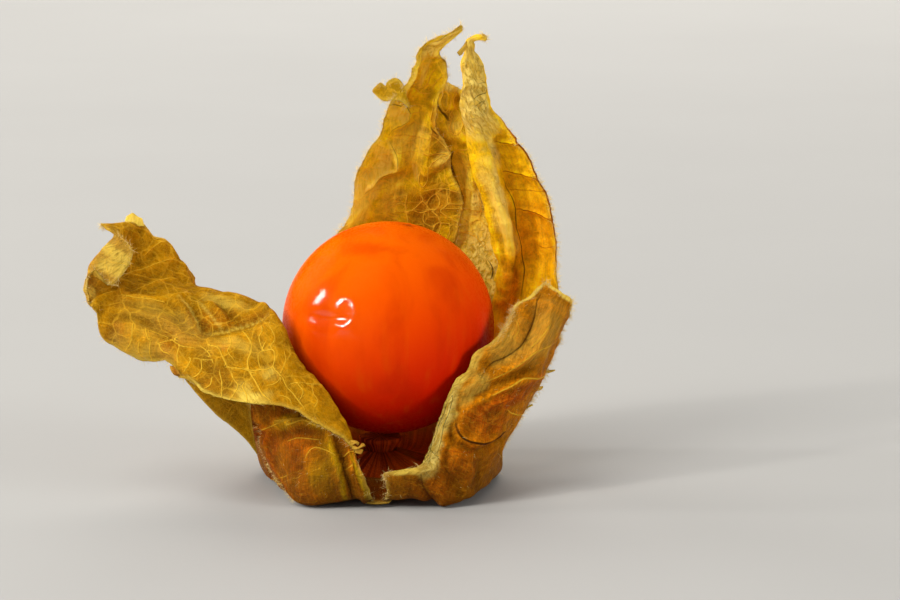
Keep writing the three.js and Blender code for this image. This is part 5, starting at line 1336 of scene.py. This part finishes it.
# ---- the stem and the ribbed seat of the berry ----
def stem_piece():
    """A turned shape with eleven soft ribs, as wide and as high as the solid."""
    steps, sides, ribs = 60, 120, 11
    low, high = (np.array(corner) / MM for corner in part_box("stem"))
    centre, reach, top = (low + high)[:2] / 2, (high - low)[0] / 2, high[2]
    profile = [(0.0, 0.02), (0.55, 0.02), (0.60, 0.25), (0.56, 1.2), (0.58, 2.2), (0.66, 2.9), (0.82, 3.4),
               (0.97, 3.75), (0.98, 4.0), (0.90, top), (0.5, top + 0.02), (0.0, top + 0.02)]
    path = spline([(r * reach, z) for r, z in profile], np.linspace(0, len(profile) - 1, steps))
    turn = np.linspace(0, 2 * math.pi, sides, endpoint=False)
    r, z = path[:, :1], np.repeat(path[:, 1:], sides, axis=1)
    shape = np.stack([r * np.cos(turn), r * np.sin(turn), z], axis=-1)
    bulge = 0.045 * np.cos(ribs * turn + 0.5 * np.sin(z * 0.9)) + 0.05 * cloud(shape * (1, 1, 0.3), 0.7, 81)
    shape[..., :2] *= (1 + (bulge - 0.05) * smooth(r, 0, 0.6))[..., None]
    shape[..., :2] += centre
    index = np.arange(steps * sides).reshape(steps, sides)
    beside = np.roll(index, -1, axis=1)
    quads = np.stack([index[:-1], beside[:-1], beside[1:], index[1:]], axis=-1).reshape(-1, 4)
    return new_piece("stem_bark", shape.reshape(-1, 3), [quads], {})


stem = stem_piece()
stem.data.materials.append(stem_material())
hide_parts("stem")
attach(stem, "root")

# ---- floor and light ----
bpy.ops.mesh.primitive_plane_add(size=3.0, location=(0, 0, 0))
floor = bpy.context.object
floor.name = "floor"
floor.data.materials.append(two_tone_material("pale_floor", 0.02, 0.65, (0.315, 0.31, 0.30), (0.335, 0.33, 0.32)))


def area_light(name, way, distance, size, power, colour, tall=None, broad=False):
    """A lamp that faces the berry. A broad one lights it but isn't seen in its gloss."""
    data = bpy.data.lights.new(name, "AREA")
    data.shape = "RECTANGLE" if tall else "DISK"
    data.size, data.size_y = size, tall or size
    data.energy, data.color = power, colour
    light = bpy.data.objects.new(name, data)
    light.location = Vector(BERRY_CENTRE) * MM + Vector(way).normalized() * distance
    light.rotation_euler = Vector(way).to_track_quat("Z", "Y").to_euler()
    light.visible_glossy = not broad
    bpy.context.collection.objects.link(light)


area_light("key", (-0.66, -0.50, 0.66), 1.00, 0.40, 5.0, (1.0, 0.98, 0.94), broad=True)
area_light("right", (0.92, -0.38, 0.24), 1.00, 0.40, 6.2, (1.0, 0.98, 0.95), broad=True)
area_light("front", (-0.36, -0.92, 0.10), 1.00, 0.90, 2.3, (1.0, 0.98, 0.95), broad=True)
area_light("top", (-0.32, -0.27, 0.91), 0.90, 0.50, 3.5, (1.0, 0.98, 0.94), broad=True)
area_light("behind", (-0.72, 0.60, 0.40), 0.80, 0.50, 3.6, (1.0, 0.98, 0.94), broad=True)
area_light("back", (0.18, 0.80, 0.58), 0.70, 0.60, 5.0, (1.0, 0.97, 0.92), broad=True)
area_light("left", (-0.80, -0.474, 0.40), 0.50, 0.050, 1.00, (1.0, 0.97, 0.92))
area_light("strip", (-0.92, 0.05, 0.38), 0.50, 0.034, 0.75, (1.0, 0.98, 0.95), 0.13)
world = bpy.data.worlds.new("studio")
world.use_nodes = True
background = world.node_tree.nodes["Background"]
background.inputs[0].default_value = (0.93, 0.93, 0.93, 1)
background.inputs[1].default_value = 0.26
world.cycles_visibility.glossy = False
bpy.context.scene.world = world
bpy.context.scene.view_settings.view_transform = "Standard"
